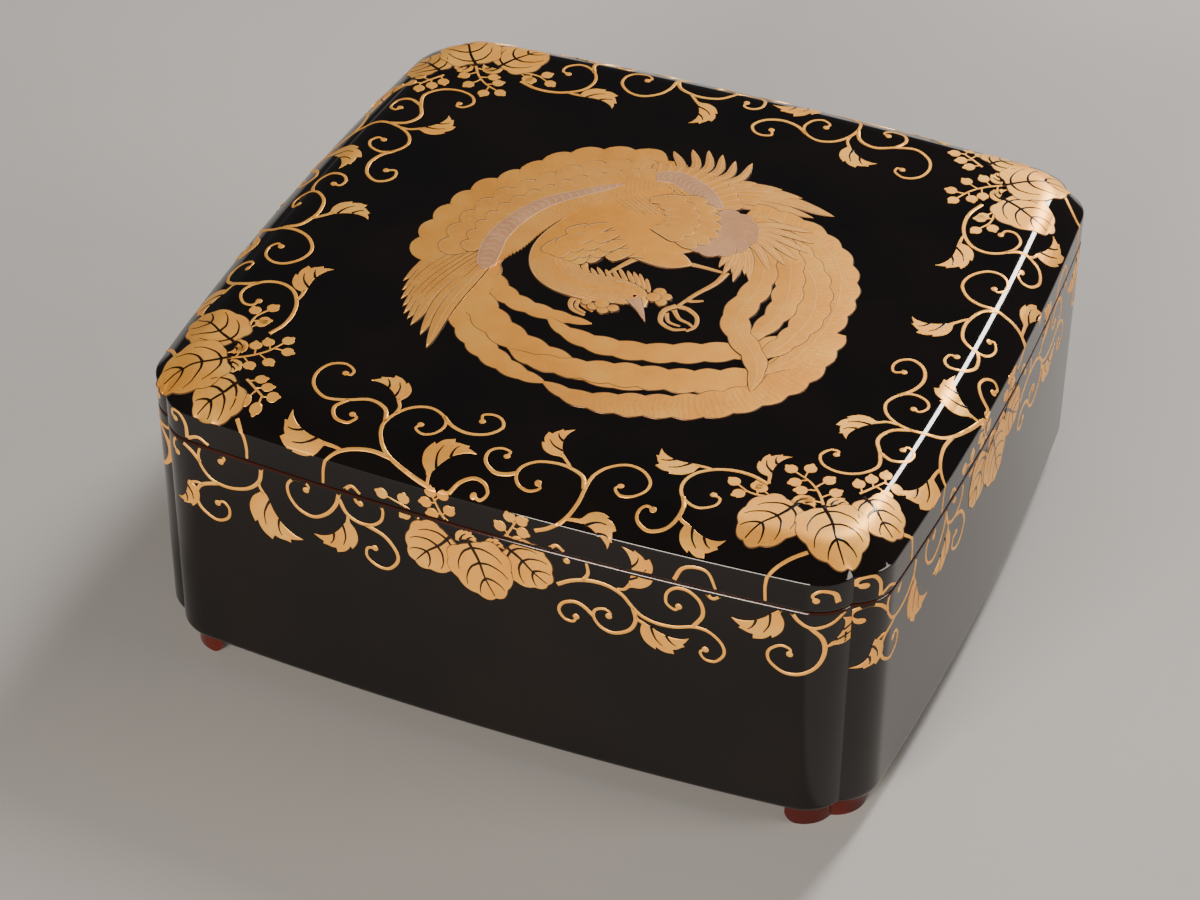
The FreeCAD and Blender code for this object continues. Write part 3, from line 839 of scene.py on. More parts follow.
BOX_VINES = [
    [
        (-59.6, -1.2), (-61, -7), (-65, -13), (-71, -16.8), (-77, -15.6), (-81, -11), (-82, -5.5),
        (-79.4, -1.6), (-74.8, -1.2), (-72.6, -3), (-73.9, -4.8),
    ],
    [
        (-93.2, -1.2), (-94.6, -8), (-100, -13.5), (-108.5, -16.2), (-116, -15), (-120.4, -10),
        (-121.4, -5), (-120.6, -1.2),
    ],
    [(-59.6, -4), (-56.6, -10), (-51.5, -12.6), (-46, -12), (-42, -8.5), (-41, -4), (-41.8, -1.2)],
    [
        (-48.5, -12.8), (-41, -15.5), (-36.2, -21), (-35.4, -26), (-39, -31), (-44, -31.6), (-48.4, -28.4),
        (-48.2, -24), (-45, -23),
    ],
    [
        (-113, -15.8), (-121, -19.4), (-123.7, -25), (-122, -31), (-115.5, -34.7), (-110, -32),
        (-109, -27.2), (-111.6, -24.4), (-114.2, -26),
    ],
    [(-120.9, -8), (-125, -3.6), (-129.6, -1.4), (-133.2, -2.6), (-134, -6), (-132, -8.2)],
    [
        (30.5, -15), (36, -11.5), (43, -9.3), (50, -9.4), (56, -12), (60, -16.5), (64, -20), (70, -21.8),
        (77, -21.4), (84, -19.2), (90, -19.8), (95, -24), (96.2, -29), (93, -33.5), (89, -33.6),
        (87, -30.6), (89, -28.8),
    ],
    [
        (60.4, -17), (61.6, -23), (59, -28.6), (53, -31.8), (48, -30.5), (45.1, -26.5), (45.6, -22.8),
        (49, -21.2), (51.6, -22.4), (51, -24.2),
    ],
    [
        (45, -26), (41, -22.6), (37, -21.5), (32.5, -23.6), (31.1, -27.5), (33.5, -31), (37, -31.2),
        (38, -28.6),
    ],
    [(40.5, -10), (42.6, -6), (42, -1.2)],
    [
        (84, -19), (87.5, -12.5), (86.4, -6.5), (82, -2.6), (77, -2.4), (73.6, -5.6), (73.4, -10.6),
        (76.8, -13), (78.2, -11),
    ],
    [(121, -1.4), (124, -5), (129, -7.2), (135, -5.4), (138.8, -1.4)],
    [
        (128, -7), (132.4, -12), (133.5, -19), (131, -26), (125, -30.4), (119, -31), (113.6, -27),
        (113, -22), (117, -18.4), (121, -19), (121, -21.6),
    ],
    [(88.8, -1.4), (91, -3.4), (94, -1.4)],
    [(-111, -1.3), (-109.7, -3), (-111.4, -4.6)],
    [(-52.6, -1.3), (-52, -3), (-50.6, -3.2)],
    [(33, -1.3), (34.2, -2.6)],
]
BOX_OPEN = (1, 2, 9, 11, 13)
BOX_LEAVES = [
    ((-94.5, -8), (-93.8, -12.5), (-76.7, -30.4), -1),
    ((-56.3, -10.4), (-55.4, -14), (-71, -25.4), 1),
    ((-120.5, -19.2), (-126.5, -19.6), (-133.5, -31), 1),
    ((61.6, -20.5), (64, -23.6), (82.4, -25.6), -1),
    ((117, -1.2), (116.6, -2.6), (98.6, -10.2), 1),
    ((54.2, -9.8), (59.5, -7.4), (56.2, 11), -1),
    ((133.6, -15.6), (136, -16), (138.5, -4), -1),
]
BOX_BIG = [((-13, -6), (-28.5, -23.5), 25), ((10, -3.5), (27.5, -17), 22.5), ((-5.5, -6), (6, -31), 27)]
BOX_LEAFLETS = [((-10.8, -6.4), (-1.6, -6.0)), ((1.4, -6.2), (9.4, -5.2))]
BOX_SPRAYS = [
    (
        [(-13.5, 0.5), (-16.5, 3.5), (-20.4, 12)],
        [(0.3, -4.2, 1), (0.36, 3.6, 1.0), (0.72, 4.2, 1.0), (0.8, -4.6, 2.0), (1.0, 0, 1.5)],
    ),
    (
        [(8, -1), (10.6, 3.2), (14, 10)],
        [(0.32, -4.6, 0.8), (0.4, 4.0, 0.8), (0.7, -4.4, 0.8), (0.86, 3.0, 2.0), (1.0, -1.6, 2.4)],
    ),
    ([(-26, -2), (-31, 1.8), (-38, 4.2)], [(0.35, 3.4, 0.6), (0.62, -3.2, 0.6), (1.0, 0, 4)]),
]

lid_gold, lid_vein = Sheet(), Sheet()
for k, points in enumerate(LID_VINES):
    vine(lid_gold, points, ball=k not in LID_OPEN)
for points in LID_ARCS:
    vine(lid_gold, points, ball=False)
for root, base, tip, bulge in LID_LEAVES:
    small_leaf(lid_gold, lid_vein, root, base, tip, bulge)

box_gold, box_vein = Sheet(), Sheet()
for k, points in enumerate(BOX_VINES):
    vine(box_gold, points, ball=k not in BOX_OPEN)
for root, base, tip, bulge in BOX_LEAVES:
    small_leaf(box_gold, box_vein, root, base, tip, bulge)
for base, tip in BOX_LEAFLETS:
    small_leaf(box_gold, box_vein, base, base, tip, 1)
for level, (base, tip, width) in enumerate(BOX_BIG):
    big_leaf(box_gold, box_vein, base, tip, width, level=level)
for stem, buds in BOX_SPRAYS:
    spray(box_gold, stem, buds)


def above_seam(p):
    return p[:, 1] > 1.2


def below_seam(p):
    return p[:, 1] < -1.1


for side in SIDES:
    place = partial(on_side, side=side)
    lay(f"lid_vines_{side}", lid_gold, place, GOLD, "lid", above_seam)
    lay(f"lid_leaf_veins_{side}", lid_vein, place, VEIN, "lid", above_seam)
    lay(f"box_vines_{side}", box_gold, place, GOLD, "box", below_seam)
    lay(f"box_leaf_veins_{side}", box_vein, place, VEIN, "box", below_seam)
    lay(f"lid_buds_{side}", box_gold, place, GOLD, "lid", above_seam)
    lay(f"lid_bud_veins_{side}", box_vein, place, VEIN, "lid", above_seam)

on_front = partial(on_side, side="front")
front_gold, front_vein = Sheet(), Sheet()
small_leaf(front_gold, front_vein, *FRONT_LEAF)
lay("lid_front_leaf", front_gold, on_front, GOLD, "lid")
lay("lid_front_leaf_veins", front_vein, on_front, VEIN, "lid")

# Corner clusters: drawn for the front-right corner in plan, and turned round the box to the others.
corner_gold, corner_vein = Sheet(), Sheet()
small_leaf(corner_gold, corner_vein, (108, -112.8), (108, -112.8), (117.5, -113.6), 1)
small_leaf(corner_gold, corner_vein, (120.5, -109.8), (120.5, -109.8), (128.8, -107.8), 1)
big_leaf(corner_gold, corner_vein, (110.5, -114), (98, -138), 24.5, level=0)
big_leaf(corner_gold, corner_vein, (132, -101), (148, -112.5), 22, wobble=0.2, level=1)
big_leaf(corner_gold, corner_vein, (120, -111.6), (137, -134.6), 27, wobble=0.1, level=2)
spray(
    corner_gold, [(104, -111.5), (98, -114), (92, -114.2), (86.5, -111.5)],
    [(0.25, -4.6, 3.4), (0.5, -4.8, 1.8), (0.72, 3.2, 1.6), (1.0, 0, 2.6)],
)
spray(
    corner_gold,
    [(120.5, -112), (116, -105), (110.5, -99.8), (103.5, -96.4)],
    [
        (0.14, 5.4, 2.4), (0.28, -6, 1.6), (0.45, 5.6, 2.2), (0.52, -6.6, 1.6), (0.74, 4.6, 2.2),
        (0.8, -5.4, 2.4), (1.0, 0, 2.8),
    ],
)
spray(
    corner_gold, [(129.5, -99), (133.2, -93.5), (136.2, -88.5)],
    [(0.1, 4.6, 1.8), (0.5, 4.2, 2.6), (0.6, -5.6, 0.6), (0.9, -4.6, 2.6), (1.0, 2.8, 2.8)],
)


def on_corner(u, v, h, turns, outward):
    """The cluster's place after quarter turns, at its distance from both sides, moved out to its corner."""
    for _ in range(turns):
        u, v = -v, u
    shift = HALF_X - HALF_Y if turns % 2 else 0.0
    x = u + math.copysign(1, u) * (outward + shift)
    y = v + math.copysign(1, v) * (outward - shift)
    return on_lid(x, y, h)


for turns, corner in enumerate(("front_right", "back_right", "back_left", "front_left")):
    place = partial(on_corner, turns=turns, outward=3.0 if corner == "front_left" else 0.0)
    lay(f"corner_leaves_{corner}", corner_gold, place, GOLD, "lid")
    lay(f"corner_veins_{corner}", corner_vein, place, VEIN, "lid")

# ---------------------------------------------------------------- the raised bird roundel


def strip(sheet, path, half, base, dome, barb=0, pitch=1.3, slant=0.9, rachis=0, fill=3, line=1, ink=1):
    """A raised feather along a path: gently domed, with a dark edge line of painted shadow and a pale line
    of painted highlight inside it. A barb height gives it slanting barbs and a rachis height a shaft, both
    with pale lines of painted highlight; its last two arguments set the strengths of the painted highlight
    and the painted shadow."""
    n = len(path)
    t, side = directions(path)
    s = np.concatenate([[0], np.cumsum(np.hypot(*np.diff(path, axis=0).T))])[:, None]
    half = np.broadcast_to(half, n)[:, None]
    fit = np.minimum(1, half / 2.6)
    rim = [0.0, 0.12, 0.40, 0.52, 0.86, 1.05]
    shaft = [0.5, 0.24, 0.0] if rachis else [0.0]
    d = [half - q * fit for q in rim]
    inner, outer = shaft[0] * fit, d[-1]
    d += [outer + (inner - outer) * k / (fill + 1) for k in range(1, fill + 1)]
    d += [q * fit for q in shaft]
    d = np.concatenate(d, 1)
    near = np.concatenate([d, d[:, -2::-1]], 1)
    off = np.concatenate([-d, d[:, -2::-1]], 1)
    x = path[:, :1] + side[:, :1] * off
    y = path[:, 1:] + side[:, 1:] * off
    w = near / np.maximum(half, 1e-6)
    z = base + dome * (1 - w**2) * fit
    if rachis:
        z = z + rachis * (near < 0.1 * fit)
    ridge = np.zeros_like(near)
    if barb:
        phase = (s - slant * near) / pitch
        ridge = np.exp(-(((phase - np.round(phase)) / 0.16) ** 2)) * (near < half - 0.7 * fit)
        z = z + barb * ridge
    z[:, [0, -1]] = 0
    z[0, :] = np.minimum(z[0, :], base)
    # painted highlight (0.5) on barbs and shaft, painted shadow (1) along the edge, and a painted highlight
    # just inside it
    shade = 0.5 * line * ridge * (barb > 0)
    if rachis:
        shade = np.maximum(shade, 0.5 * line * (near < 0.3 * fit))
    shade[:, [0, 1, 2, -3, -2, -1]] = ink
    shade[:, [3, 4, -5, -4]] = 0.5 * min(line, ink)
    shade[:, [5, -6]] = 0.0
    shade[0, :] = 0
    verts = np.stack([x.ravel(), y.ravel(), z.ravel()], 1)
    m = near.shape[1]
    corners = [i * m + j for i in range(n - 1) for j in range(m - 1)]
    faces = [(a + m, a + m + 1, a + 1, a) for a in corners]
    sheet.add(verts, faces, shade.ravel())
    end = path[-1] + t[-1] * 0.12
    k = len(sheet.v)
    sheet.add([(end[0], end[1], 0.0)], [], [ink])
    start = k - m
    sheet.f += [(start + j, start + j + 1, k)[::-1] for j in range(m - 1)]


def lobe(sheet, centre, radius, base):
    """A flat round lobe with a dark edge line of painted shadow and a pale ring of painted highlight inside
    it, for the comb and the wattles.
    """
    steps, swell = 28, 0.12
    a = np.linspace(0, 2 * math.pi, steps, endpoint=False)
    # the dark rings are painted shadow along the edge, the pale rings a painted highlight inside it
    dark = [(radius, 0.0, 1.0), (radius - 0.12, base, 1.0), (radius - 0.34, base, 1.0)]
    pale = [(radius - 0.44, base + 0.02, 0.5), (radius - 0.75, base + 0.04, 0.0)]
    levels = dark + pale + [(radius * 0.3, base + swell, 0.0)]
    verts, shades = [], []
    for r, z, shade in levels:
        verts += [(centre[0] + r * math.cos(q), centre[1] + r * math.sin(q), z) for q in a]
        shades += [shade] * steps
    verts.append((centre[0], centre[1], base + swell))
    shades.append(0.0)
    faces = ring_quads(len(levels), steps) + fan((len(levels) - 1) * steps, steps, len(levels) * steps)
    sheet.add(verts, faces, shades)


def leaf_width(n, width, start, peak, tip):
    """Half-widths along a feather: narrow at the root, widest at peak, round or pointed at the tip."""
    s = np.linspace(0, 1, n)
    rise = start + (1 - start) * np.sin(np.clip(s / peak, 0, 1) * math.pi / 2)
    past = np.clip((s - peak) / (1 - peak), 0, 1)
    fall = (1 - past ** (2.2 * tip)) ** (0.5 * tip)
    return np.maximum(width * rise * fall, 0.05)


def feather(sheet, points, width, base, dome, pointed=False, **more):
    """A strip along a smooth curve through points, with a round or a pointed tip."""
    path = spline(points, 0.4)
    peak, tip = (0.35, 1.7) if pointed else (0.72, 1.0)
    profile = leaf_width(len(path), width, 0.5, peak, tip)
    strip(sheet, path, profile, base, dome, **more)


def plume(sheet, points, width, base, waves, line):
    """A long tail plume with a wavy edge; line is the strength of the painted highlight on its barbs, shaft
    and edge, and 0 gives none of these.
    """
    path = spline(points, 0.32)
    s = np.linspace(0, 1, len(path))
    wave = math.pi * waves * s
    half = leaf_width(len(path), width, 0.95, 0.4, 1.15)
    half *= 0.90 + 0.20 * np.abs(np.sin(wave)) + 0.03 * np.sin(0.63 * wave + 1)
    barb, rachis = (0.035, 0.06) if line else (0, 0)
    strip(sheet, path, half, base, 0.1, barb=barb, rachis=rachis, pitch=2.3, slant=1.3, line=line)


def along_curve(points, t):
    """The place at a share of a smooth curve's length."""
    p = spline(points, 0.5)
    i = min(max(t, 0), 1) * (len(p) - 1)
    k = min(int(i), len(p) - 2)
    return p[k] + (p[k + 1] - p[k]) * (i - k)


RELIEF_HEIGHT = 0.4  # the relief is shallow: its sheets are drawn higher than they are laid
bird, bird_mauve, bird_eye, bird_beak = Sheet(), Sheet(), Sheet(), Sheet()

# Tail plumes sweep clockwise round the roundel, the lowest ones first: points, half-width, level,
# waves of the edge and strength of the painted highlight lines.
PLUMES = [
    ([(-56, -46), (-46, -62), (-31, -74.5), (-16, -81.5), (-3, -83.6)], 5.6, 0.14, 7, 0.0),
    ([(-57, -12), (-51, -27), (-38, -38.5), (-20, -42.5), (-1, -42)], 4.8, 0.16, 8, 0.0),
    (
        [(-56, -20), (-53, -38), (-42, -52), (-26, -62.5), (-6, -69), (18, -73), (34, -72)], 6.9, 0.22, 10,
        0.0,
    ),
    (
        [(74, -24), (60, -34), (44, -43), (26, -50.4), (8, -53.2), (-8, -50.6), (-18.6, -44.8)], 6.2, 0.30,
        9, 0.0,
    ),
    (
        [(82, -34), (68, -50), (49, -60.5), (26, -66.5), (4, -71), (-14, -72.4), (-24, -69.6)], 7.4, 0.42,
        11, 0.0,
    ),
    ([(86, -10), (85, -36), (75, -58), (58, -73), (37, -82), (14, -87.5), (-4, -83.5)], 7.8, 0.54, 13, 0.4),
    (
        [(46, 40), (55, 28), (60, 15), (62.6, 5), (63.6, -5), (62.4, -14), (60, -24), (56, -31.5)], 6.0,
        0.84, 7, 0.55,
    ),
    (
        [(28, 54), (50, 51), (62, 44), (72, 35), (79, 22), (82.8, 4), (82.6, -16), (78, -34), (68, -48)],
        7.4, 0.60, 13, 0.55,
    ),
    (
        [
            (34, 47), (50, 39), (60, 29.4), (68.6, 19), (73.4, 8), (75.4, -6), (73.6, -20), (69, -32),
            (61, -40),
        ],
        6.8, 0.72, 11, 0.55,
    ),
    (
        [
            (42, 32), (48.4, 16), (50, 5), (49.2, -6), (49.2, -17), (54.8, -27), (64, -36.6), (69, -46),
            (71.2, -58),
        ],
        5.9, 1.08, 8, 0.55,
    ),
]
for shape in PLUMES:
    plume(bird, *shape)

# The near wing opens to the left and down from a banded arm.
ARM = [(-14, 65), (-26, 52), (-39, 39.5), (-50, 27), (-56.5, 12), (-58.5, -5), (-54.5, -26)]
RIM_LINE = [
    (-10, 72), (-27, 79.5), (-44, 74), (-57, 66), (-66.5, 54), (-72, 42), (-81, 30), (-86.5, 14),
    (-89, -4), (-88, -20), (-82.5, -36),
]
SHOULDER_LINE = [(-8, 57), (-20, 46), (-30, 35), (-38, 22), (-43, 8), (-46, -6), (-50.5, -15)]
PRIMARIES = [
    (-80.8, -45), (-78.4, -51), (-76.4, -56.4), (-73.6, -60.6), (-71.2, -65), (-68.4, -67.6),
    (-65.4, -70.8), (-59.4, -75), (-53.6, -81.8),
]
for k, tip in enumerate(PRIMARIES):
    a = along_curve(ARM, 0.74 + 0.026 * k)
    b = np.array(tip)
    mid = (a + b) / 2 + np.array([-5.5 + 0.35 * k, -1.0])
    feather(
        bird, [a + (1, 6), mid, b], 3.4, 0.30 + 0.09 * k, 0.1, pointed=True, pitch=1.7, barb=0.015,
        rachis=0.1, line=0.6,
    )
# Rows of coverts: reach, count, half-width, level and strength of the painted highlight lines.
ROWS = ((1.0, 12, 9.4, 0.30, 0.5), (0.66, 12, 6.6, 0.72, 0.9), (0.38, 15, 4.6, 1.02, 1.0))
for reach, count, width, base, line in ROWS:
    for k in range(count):
        t = (k + 0.5) / count
        a = along_curve(ARM, t * 0.86)
        b = along_curve(RIM_LINE, t * 0.97)
        tip = a + (b - a) * reach
        turn = turned(b - a) * 0.10 * reach
        feather(
            bird, [a, (a + tip) / 2 - turn, tip + turn * 0.8], width, base + 0.02 * (count - k), 0.08,
            pitch=1.5, line=line, barb=0.012,
        )
inner = spline([(-12, 60), (-24, 48), (-36, 36), (-46, 23), (-50.5, 9), (-52, -4), (-52.4, -18)], 0.5)
inner_half = np.interp(np.linspace(0, 1, len(inner)), [0, 0.3, 0.8, 1], [9, 9, 6.5, 1.5])
strip(bird, inner, inner_half, 1.3, 0.05, ink=0)
for row in range(9):
    out = 0.96 - 0.1 * row
    for k in range(44):
        t = (k + 0.5 * (row % 2) + 0.3) / 44.5
        a = along_curve(SHOULDER_LINE, t)
        b = along_curve(ARM, 0.06 + t * 0.86)
        p = a + (b - a) * (out - 0.14)
        q = a + (b - a) * out
        feather(bird, [p, (p + q) / 2, q], 1.25, 1.34 + 0.012 * row, 0.06, fill=1, line=0.8, ink=0.72)
band = spline(ARM[1:], 0.3)
stops, halves = [0, 0.1, 0.45, 0.85, 0.95, 1], [0.4, 2.0, 3.6, 4.8, 4.0, 0.6]
band_half = np.interp(np.linspace(0, 1, len(band)), stops, halves)
strip(bird_mauve, band, band_half, 1.62, 0.1, pitch=3.4, slant=0.5, barb=0.08, ink=0.5)

# The far wing points up and to the right.
FAR = [
    ((4, 55), (22, 57), (34.5, 58.2), 2.6),
    ((6, 57), (30, 62), (53.5, 60.2), 3.2),
    ((5, 59), (34, 67.5), (61, 64.4), 3.9),
    ((2, 60), (26, 69), (44.5, 71.6), 3.8),
    ((0, 61), (20, 69.5), (35, 74), 3.8),
    ((-2, 62), (13, 68.5), (24, 74.2), 3.8),
    ((2, 62), (15.6, 74), (16.8, 87.6), 2.3),
    ((-1, 62), (10.4, 74), (9.8, 86.2), 2.3),
    ((-4, 62), (5.6, 75), (3.2, 88.4), 2.3),
    ((-7, 62), (1, 76), (-3.2, 89), 2.3),
    ((-9, 62), (-3.8, 75), (-9.6, 87), 2.3),
    ((-12, 62), (-8.8, 72), (-16.4, 82.6), 2.3),
]
for k, (a, mid, b, width) in enumerate(FAR):
    feather(
        bird, [a, mid, b], width, 0.42 + 0.07 * k, 0.1, pointed=True, pitch=1.4, barb=0.012, rachis=0.1,
        line=0.7,
    )
for k in range(12):
    t = k / 11
    a = along_curve([(-15, 61), (-4, 61), (6, 56), (13, 50)], t)
    b = along_curve([(-18, 72), (-2, 74), (14, 69), (24, 57)], t)
    feather(bird, [a, (a + b) / 2, b], 3.6, 1.20, 0.08, pitch=1.2, barb=0.012, rachis=0.1, line=0.7)
under = spline([(-20, 60), (-10, 63.5), (2, 61), (12, 55), (19, 47)], 0.5)
strip(bird, under, 6.5, 1.1, 0.03, ink=0)
band = spline([(-16, 62), (-8, 64.5), (1, 61.5), (9, 56.5), (16, 50)], 0.3)
band_half = 5.0 * np.sin(np.linspace(0.5, 2.8, len(band))) ** 0.6
strip(bird_mauve, band, band_half, 1.42, 0.1, pitch=2.6, slant=0.5, barb=0.08, ink=0.5)

# Fine plumes at the root of the tail, then the silvery hip.
TAIL_ROOT = [
    (57, 50), (60, 43), (60, 36), (58, 29.5), (55, 24), (50.5, 18), (45, 9), (42, 12), (39.6, 5.6),
    (37, 11), (34.4, 8.4), (31, 12.5),
]
HIP = [
    (24.5, 51.5), (31.5, 49.5), (36.8, 43), (38.6, 35.5), (37, 27.6), (32.4, 21.4), (26, 18), (19.6, 18.6),
]
for k, tip in enumerate(TAIL_ROOT):
    a = np.array((24, 38))
    b = np.array(tip, float)
    turn = turned(b - a) * 0.12
    feather(
        bird, [a, (a + b) / 2 + turn, b], 2.2, 1.12 + 0.03 * k, 0.1, pointed=True, pitch=1.0, rachis=0.05,
    )
for k, tip in enumerate(HIP):
    a = np.array((16, 35))
    b = np.array(tip, float)
    feather(bird_mauve, [a, (a + b) / 2, b], 5.4, 1.45 + 0.04 * k, 0.06, ink=0.8)

# Legs and claws, under the body.
for points, width in (
    (((12, 10), (24, 10.4), (34.5, 10)), 1.5),
    (((35, 10.6), (33.5, 2), (29, -8), (25, -19)), 1.55),
    (((25, -18), (21.6, -23), (23, -30), (29, -33), (34, -31)), 1.5),
    (((25, -18), (30, -18.5), (35, -22), (36.6, -28), (34.6, -32)), 1.4),
    (((25, -21), (29, -25.5), (33.5, -27), (36.4, -29)), 1.2),
    (((23, -24), (26, -29), (31, -30)), 1.1),
    (((27, -13), (30, -12.6), (33.4, -10.8)), 1.2),
    (((-2, 5), (-5, -1), (-8, -8)), 1.6),
    (((-12, -26), (-14.4, -31), (-12, -36), (-6, -38)), 1.5),
    (((-11.5, -27), (-9, -32), (-4, -34.5)), 1.3),
    (((-12, -28), (-11, -34), (-6.4, -36.4)), 1.2),
):
    path = spline(points, 0.4)
    strip(bird, path, np.linspace(width, width * 0.5, len(path)), 0.5, 0.3, fill=1)

# Body and neck in one sweep, with the head turned down at its end.
body = spline(
    [
        (19, 29), (8, 28.5), (-6, 27), (-19, 19), (-29, 6), (-31.5, -7), (-25, -17.5), (-12, -20.2),
        (0, -18.6), (8, -20), (13, -25),
    ],
    0.45,
)
s = np.linspace(0, 1, len(body))
body_half = np.interp(
    s, [0, 0.08, 0.2, 0.33, 0.45, 0.57, 0.68, 0.78, 0.88, 0.94, 1],
    [9, 18, 22.5, 20.5, 14.5, 11, 9.2, 9.0, 8.6, 6.6, 2.0],
)
BODY_BASE, BODY_DOME = 1.15, 0.55
strip(bird, body, body_half, BODY_BASE, BODY_DOME, fill=12)
feather(bird, [(-12, 14), (4, 11), (20.5, 9.6)], 7.4, 1.0, 0.3, pointed=True)


def body_height(u, v):
    """The height of the body's crown at a place, for what lies on it."""
    d = np.hypot(*(body - (u, v)).T)
    k = int(d.argmin())
    return BODY_BASE + BODY_DOME * max(0.0, 1 - (d[k] / body_half[k]) ** 2)


def body_frame(f, ahead):
    """Centre, half-width, direction and left side at a share of the body's length; the direction is
    taken over some points ahead."""
    i = int(f * (len(body) - 1))
    t = body[min(i + ahead, len(body) - 1)] - body[i]
    t /= np.hypot(*t)
    return body[i], body_half[i], t, turned(t)


for tips, length, wide, base in (
    (
        [(10, 53.5), (15.6, 49), (19.6, 43.6), (22.2, 37.6), (23, 31.4), (21.6, 25.4), (17.6, 20.6)], 19,
        3.9, 1.72,
    ),
    ([(2, 50.5), (7.6, 46.6), (11.4, 41.4), (13.4, 35.4), (13.2, 29), (10.6, 23.6)], 15, 4.2, 2.0),
):
    for k, tip in enumerate(tips):
        b = np.array(tip)
        d = np.array([1.0, 0.42 - 0.14 * k])
        d /= np.hypot(*d)
        feather(
            bird, [b - d * length, b - d * length / 2 + (0, 0.6), b], wide, base + 0.03 * k, 0.1,
            pitch=1.3, barb=0.01, line=0.9,
        )
# Small scales over the back, longer ones down the breast and the neck.
for row in range(15):
    for k in range(20):
        p = np.array([-33 + 1.75 * k + 0.6 * row, 33 + 1.75 * row + (0.9 if k % 2 else 0)])
        if np.hypot((p[0] + 12) / 18, (p[1] - 47.5) / 12) < 1:
            d = np.array([-0.75, 0.66])
            feather(
                bird, [p - d * 1.1, p, p + d * 1.2], 1.05, body_height(*p) + 0.10, 0.08, fill=1, line=0.8,
                ink=0.85,
            )
for row in range(4):
    centre, w, t, n = body_frame(0.36 + 0.055 * row, 1)
    for k in range(4):
        off = (k - 2.6 + 0.5 * (row % 2)) / 2.3 * w * 0.8
        if off > w * 0.42 or off < -w * 0.95:
            continue
        p = centre + n * -off
        feather(
            bird, [p - t * 6.5, p, p + t * 5.5], 4.0, body_height(*p) + 0.34 - 0.05 * row, 0.1, line=1.0,
        )
# Hackles run along the neck.
for row in range(9):
    centre, w, t, n = body_frame(0.90 - 0.036 * row, 2)
    for k in range(9):
        off = (k - 4 + 0.5 * (row % 2)) / 4.6 * w * 0.9
        p = centre + n * off
        if abs(off) > w * 0.9:
            continue
        feather(
            bird, [p - t * 5.5, p - t * 0.4, p + t * 3.6], 1.25, body_height(*p) + 0.05, 0.08,
            pointed=True, fill=1, line=0.8, ink=0.7,
        )
# Nape hackles stand free, like a comb of small spikes.
for k in range(13):
    t = k / 12
    a = along_curve([(-19, -6), (-15, -12.5), (-7, -11), (2, -8.6), (10, -11)], t)
    lean = np.array([-2.6 - 1.4 * math.sin(t * 3), 3.6 + 1.6 * t])
    feather(
        bird, [a - lean * 0.6, a + lean * 0.4, a + lean * (1.0 + 0.12 * (k % 3))], 1.1, 0.7, 0.3,
        pointed=True,
    )
# Comb, wattles, cheek, beak and eye.
LOBES = [
    ((15.6, -12.4), 2.9, 1.3), ((19.2, -14.6), 2.6, 1.34), ((18.6, -18.6), 2.6, 1.38),
    ((14.6, -16.6), 3.2, 1.48), ((-8.6, -29.6), 2.4, 1.2), ((-5, -31.6), 2.6, 1.24),
    ((-0.6, -32.2), 2.7, 1.28), ((2.8, -29.6), 2.6, 1.32), ((-2.4, -28.6), 3.2, 1.4),
]
for c, r, level in LOBES:
    lobe(bird, c, r, level)
feather(bird, [(-4, -15), (4, -17), (10.5, -21.5)], 5.6, 1.62, 0.1, ink=0.6)
beak = spline([(7.6, -20.6), (12.6, -26.2), (17.4, -32.8)], 0.3)
strip(bird_beak, beak, np.linspace(3.4, 0.25, len(beak)), 1.78, 0.12, ink=0.9)
strip(bird_beak, spline([(10, -25.4), (13, -28.4), (15.4, -31)], 0.3), 0.28, 1.98, 0.02, fill=1)
strip(
    bird, spline([(4.4, -18.8), (7.4, -17.4), (10.2, -19.4), (7.6, -20.6), (4.6, -19.0)], 0.25), 0.34, 1.9,
    0.02, fill=1, ink=0.5,
)
bird_eye.dot((7.6, -19.0), 1.05, 2.05, 18)


def on_roundel(u, v, h):
    return on_lid(u, v, h * RELIEF_HEIGHT)


lay("bird_relief", bird, on_roundel, RELIEF, "lid", smooth=50)
lay("bird_silver_bands", bird_mauve, on_roundel, MAUVE, "lid", smooth=50)
lay("bird_beak", bird_beak, on_roundel, MAUVE, "lid", smooth=50)
eye = lay("bird_eye", bird_eye, on_roundel, EYE, "lid", smooth=50)

# ---------------------------------------------------------------- stage, light, camera

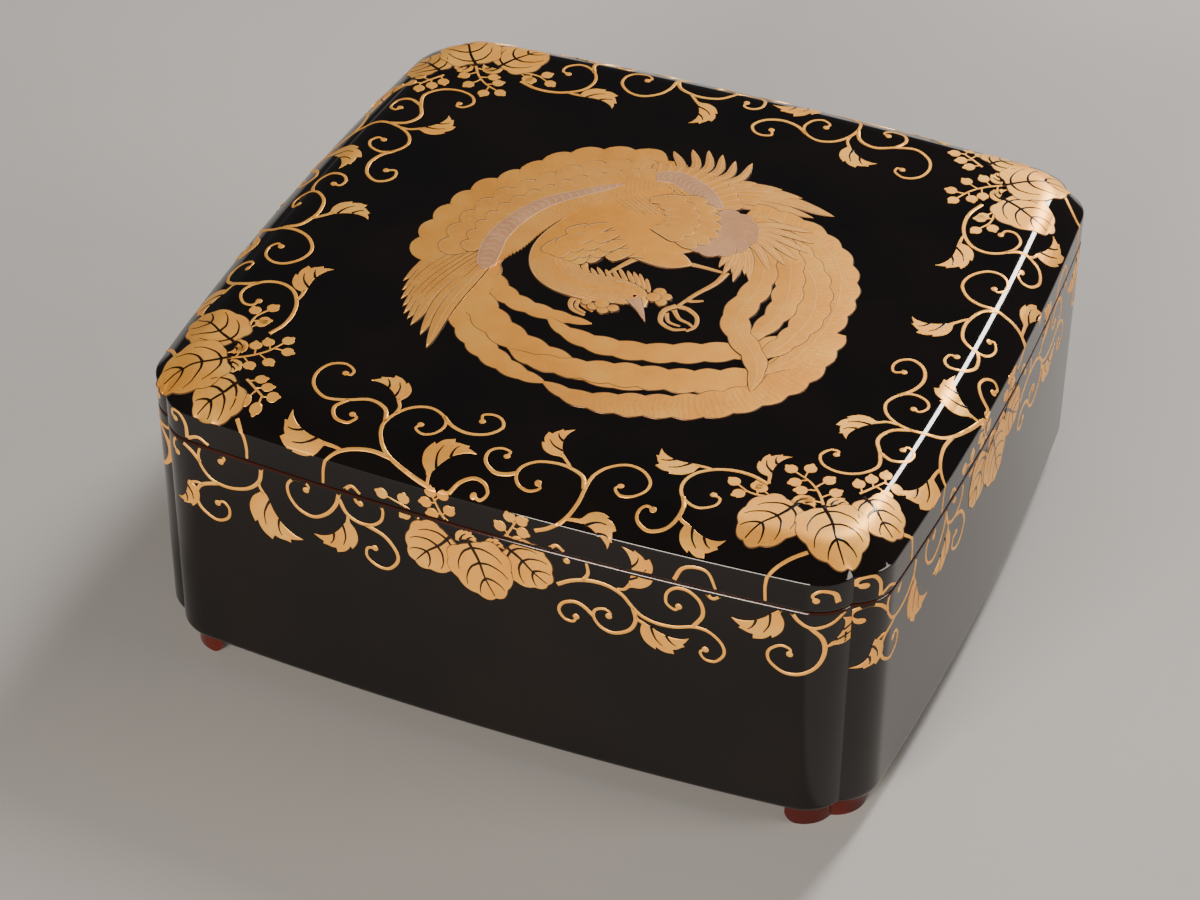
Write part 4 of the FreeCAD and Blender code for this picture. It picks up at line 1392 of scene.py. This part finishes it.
FLOOR = 6.0  # metres from the middle to each side
floor = bpy.data.meshes.new("floor")
square = [(-FLOOR, -FLOOR, 0), (FLOOR, -FLOOR, 0), (FLOOR, FLOOR, 0), (-FLOOR, FLOOR, 0)]
floor.from_pydata(square, [], [(0, 1, 2, 3)])
add_object("floor", floor)
m, nodes, links, bsdf = node_material("pale_floor")
coord = nodes.new("ShaderNodeTexCoord")
cloud = noise(nodes, links, coord, 3, 3)
tone = ramp(
    nodes, links, cloud.outputs["Fac"], [(0.3, (0.38, 0.375, 0.38, 1)), (0.7, (0.41, 0.405, 0.41, 1))],
)
links.new(tone.outputs["Color"], bsdf.inputs["Base Color"])
bsdf.inputs["Roughness"].default_value = 0.8
bsdf.inputs["Specular IOR Level"].default_value = 0.2
floor.materials.append(m)

world = bpy.data.worlds.new("studio")
bpy.context.scene.world = world
world.use_nodes = True
sky = world.node_tree.nodes["Background"]
sky.inputs["Color"].default_value = (0.9, 0.92, 1.0, 1)
sky.inputs["Strength"].default_value = 0.07


def softbox(name, place, target, size, size_y, power, colour):
    """A rectangular lamp at a place, turned towards a target; both in metres."""
    lamp = bpy.data.lights.new(name, "AREA")
    lamp.shape = "RECTANGLE"
    lamp.size = size
    lamp.size_y = size_y
    lamp.energy = power
    lamp.color = colour
    obj = add_object(name, lamp)
    obj.location = place
    obj.rotation_euler = (Vector(target) - Vector(place)).to_track_quat("-Z", "Y").to_euler()


WARM = (1.0, 0.90, 0.77)
softbox("back_strip", (0.36, 1.45, 1.32), (0.05, 0.0, 0.12), 0.24, 1.1, 52, (1.0, 0.95, 0.88))
softbox("side_key", (1.7, 0.2, 0.85), (0, 0, 0.12), 0.8, 0.7, 18, WARM)
softbox("front_low", (-0.15, -2.0, 0.78), (0, 0, 0.08), 0.9, 0.5, 62, WARM)

AZIMUTH, ELEVATION, ROLL = math.radians(22.41), math.radians(38.59), math.radians(0.55)
DISTANCE = 1.302  # metres
TARGET = Vector((27.7, -102.1, 124.9)) * MM
LENS, SENSOR = 103.8, 36
flat = math.cos(ELEVATION)
back = Vector((math.sin(AZIMUTH) * flat, -math.cos(AZIMUTH) * flat, math.sin(ELEVATION)))
right = Vector((math.cos(AZIMUTH), math.sin(AZIMUTH), 0))
up = back.cross(right)
right_r = right * math.cos(ROLL) + up * math.sin(ROLL)
up_r = up * math.cos(ROLL) - right * math.sin(ROLL)
cam = bpy.data.cameras.new("camera")
cam.lens = LENS
cam.sensor_width = SENSOR
cam_obj = add_object("camera", cam)
rot = Matrix((right_r, up_r, back)).transposed()
cam_obj.matrix_world = Matrix.Translation(TARGET + back * DISTANCE) @ rot.to_4x4()
bpy.context.scene.camera = cam_obj
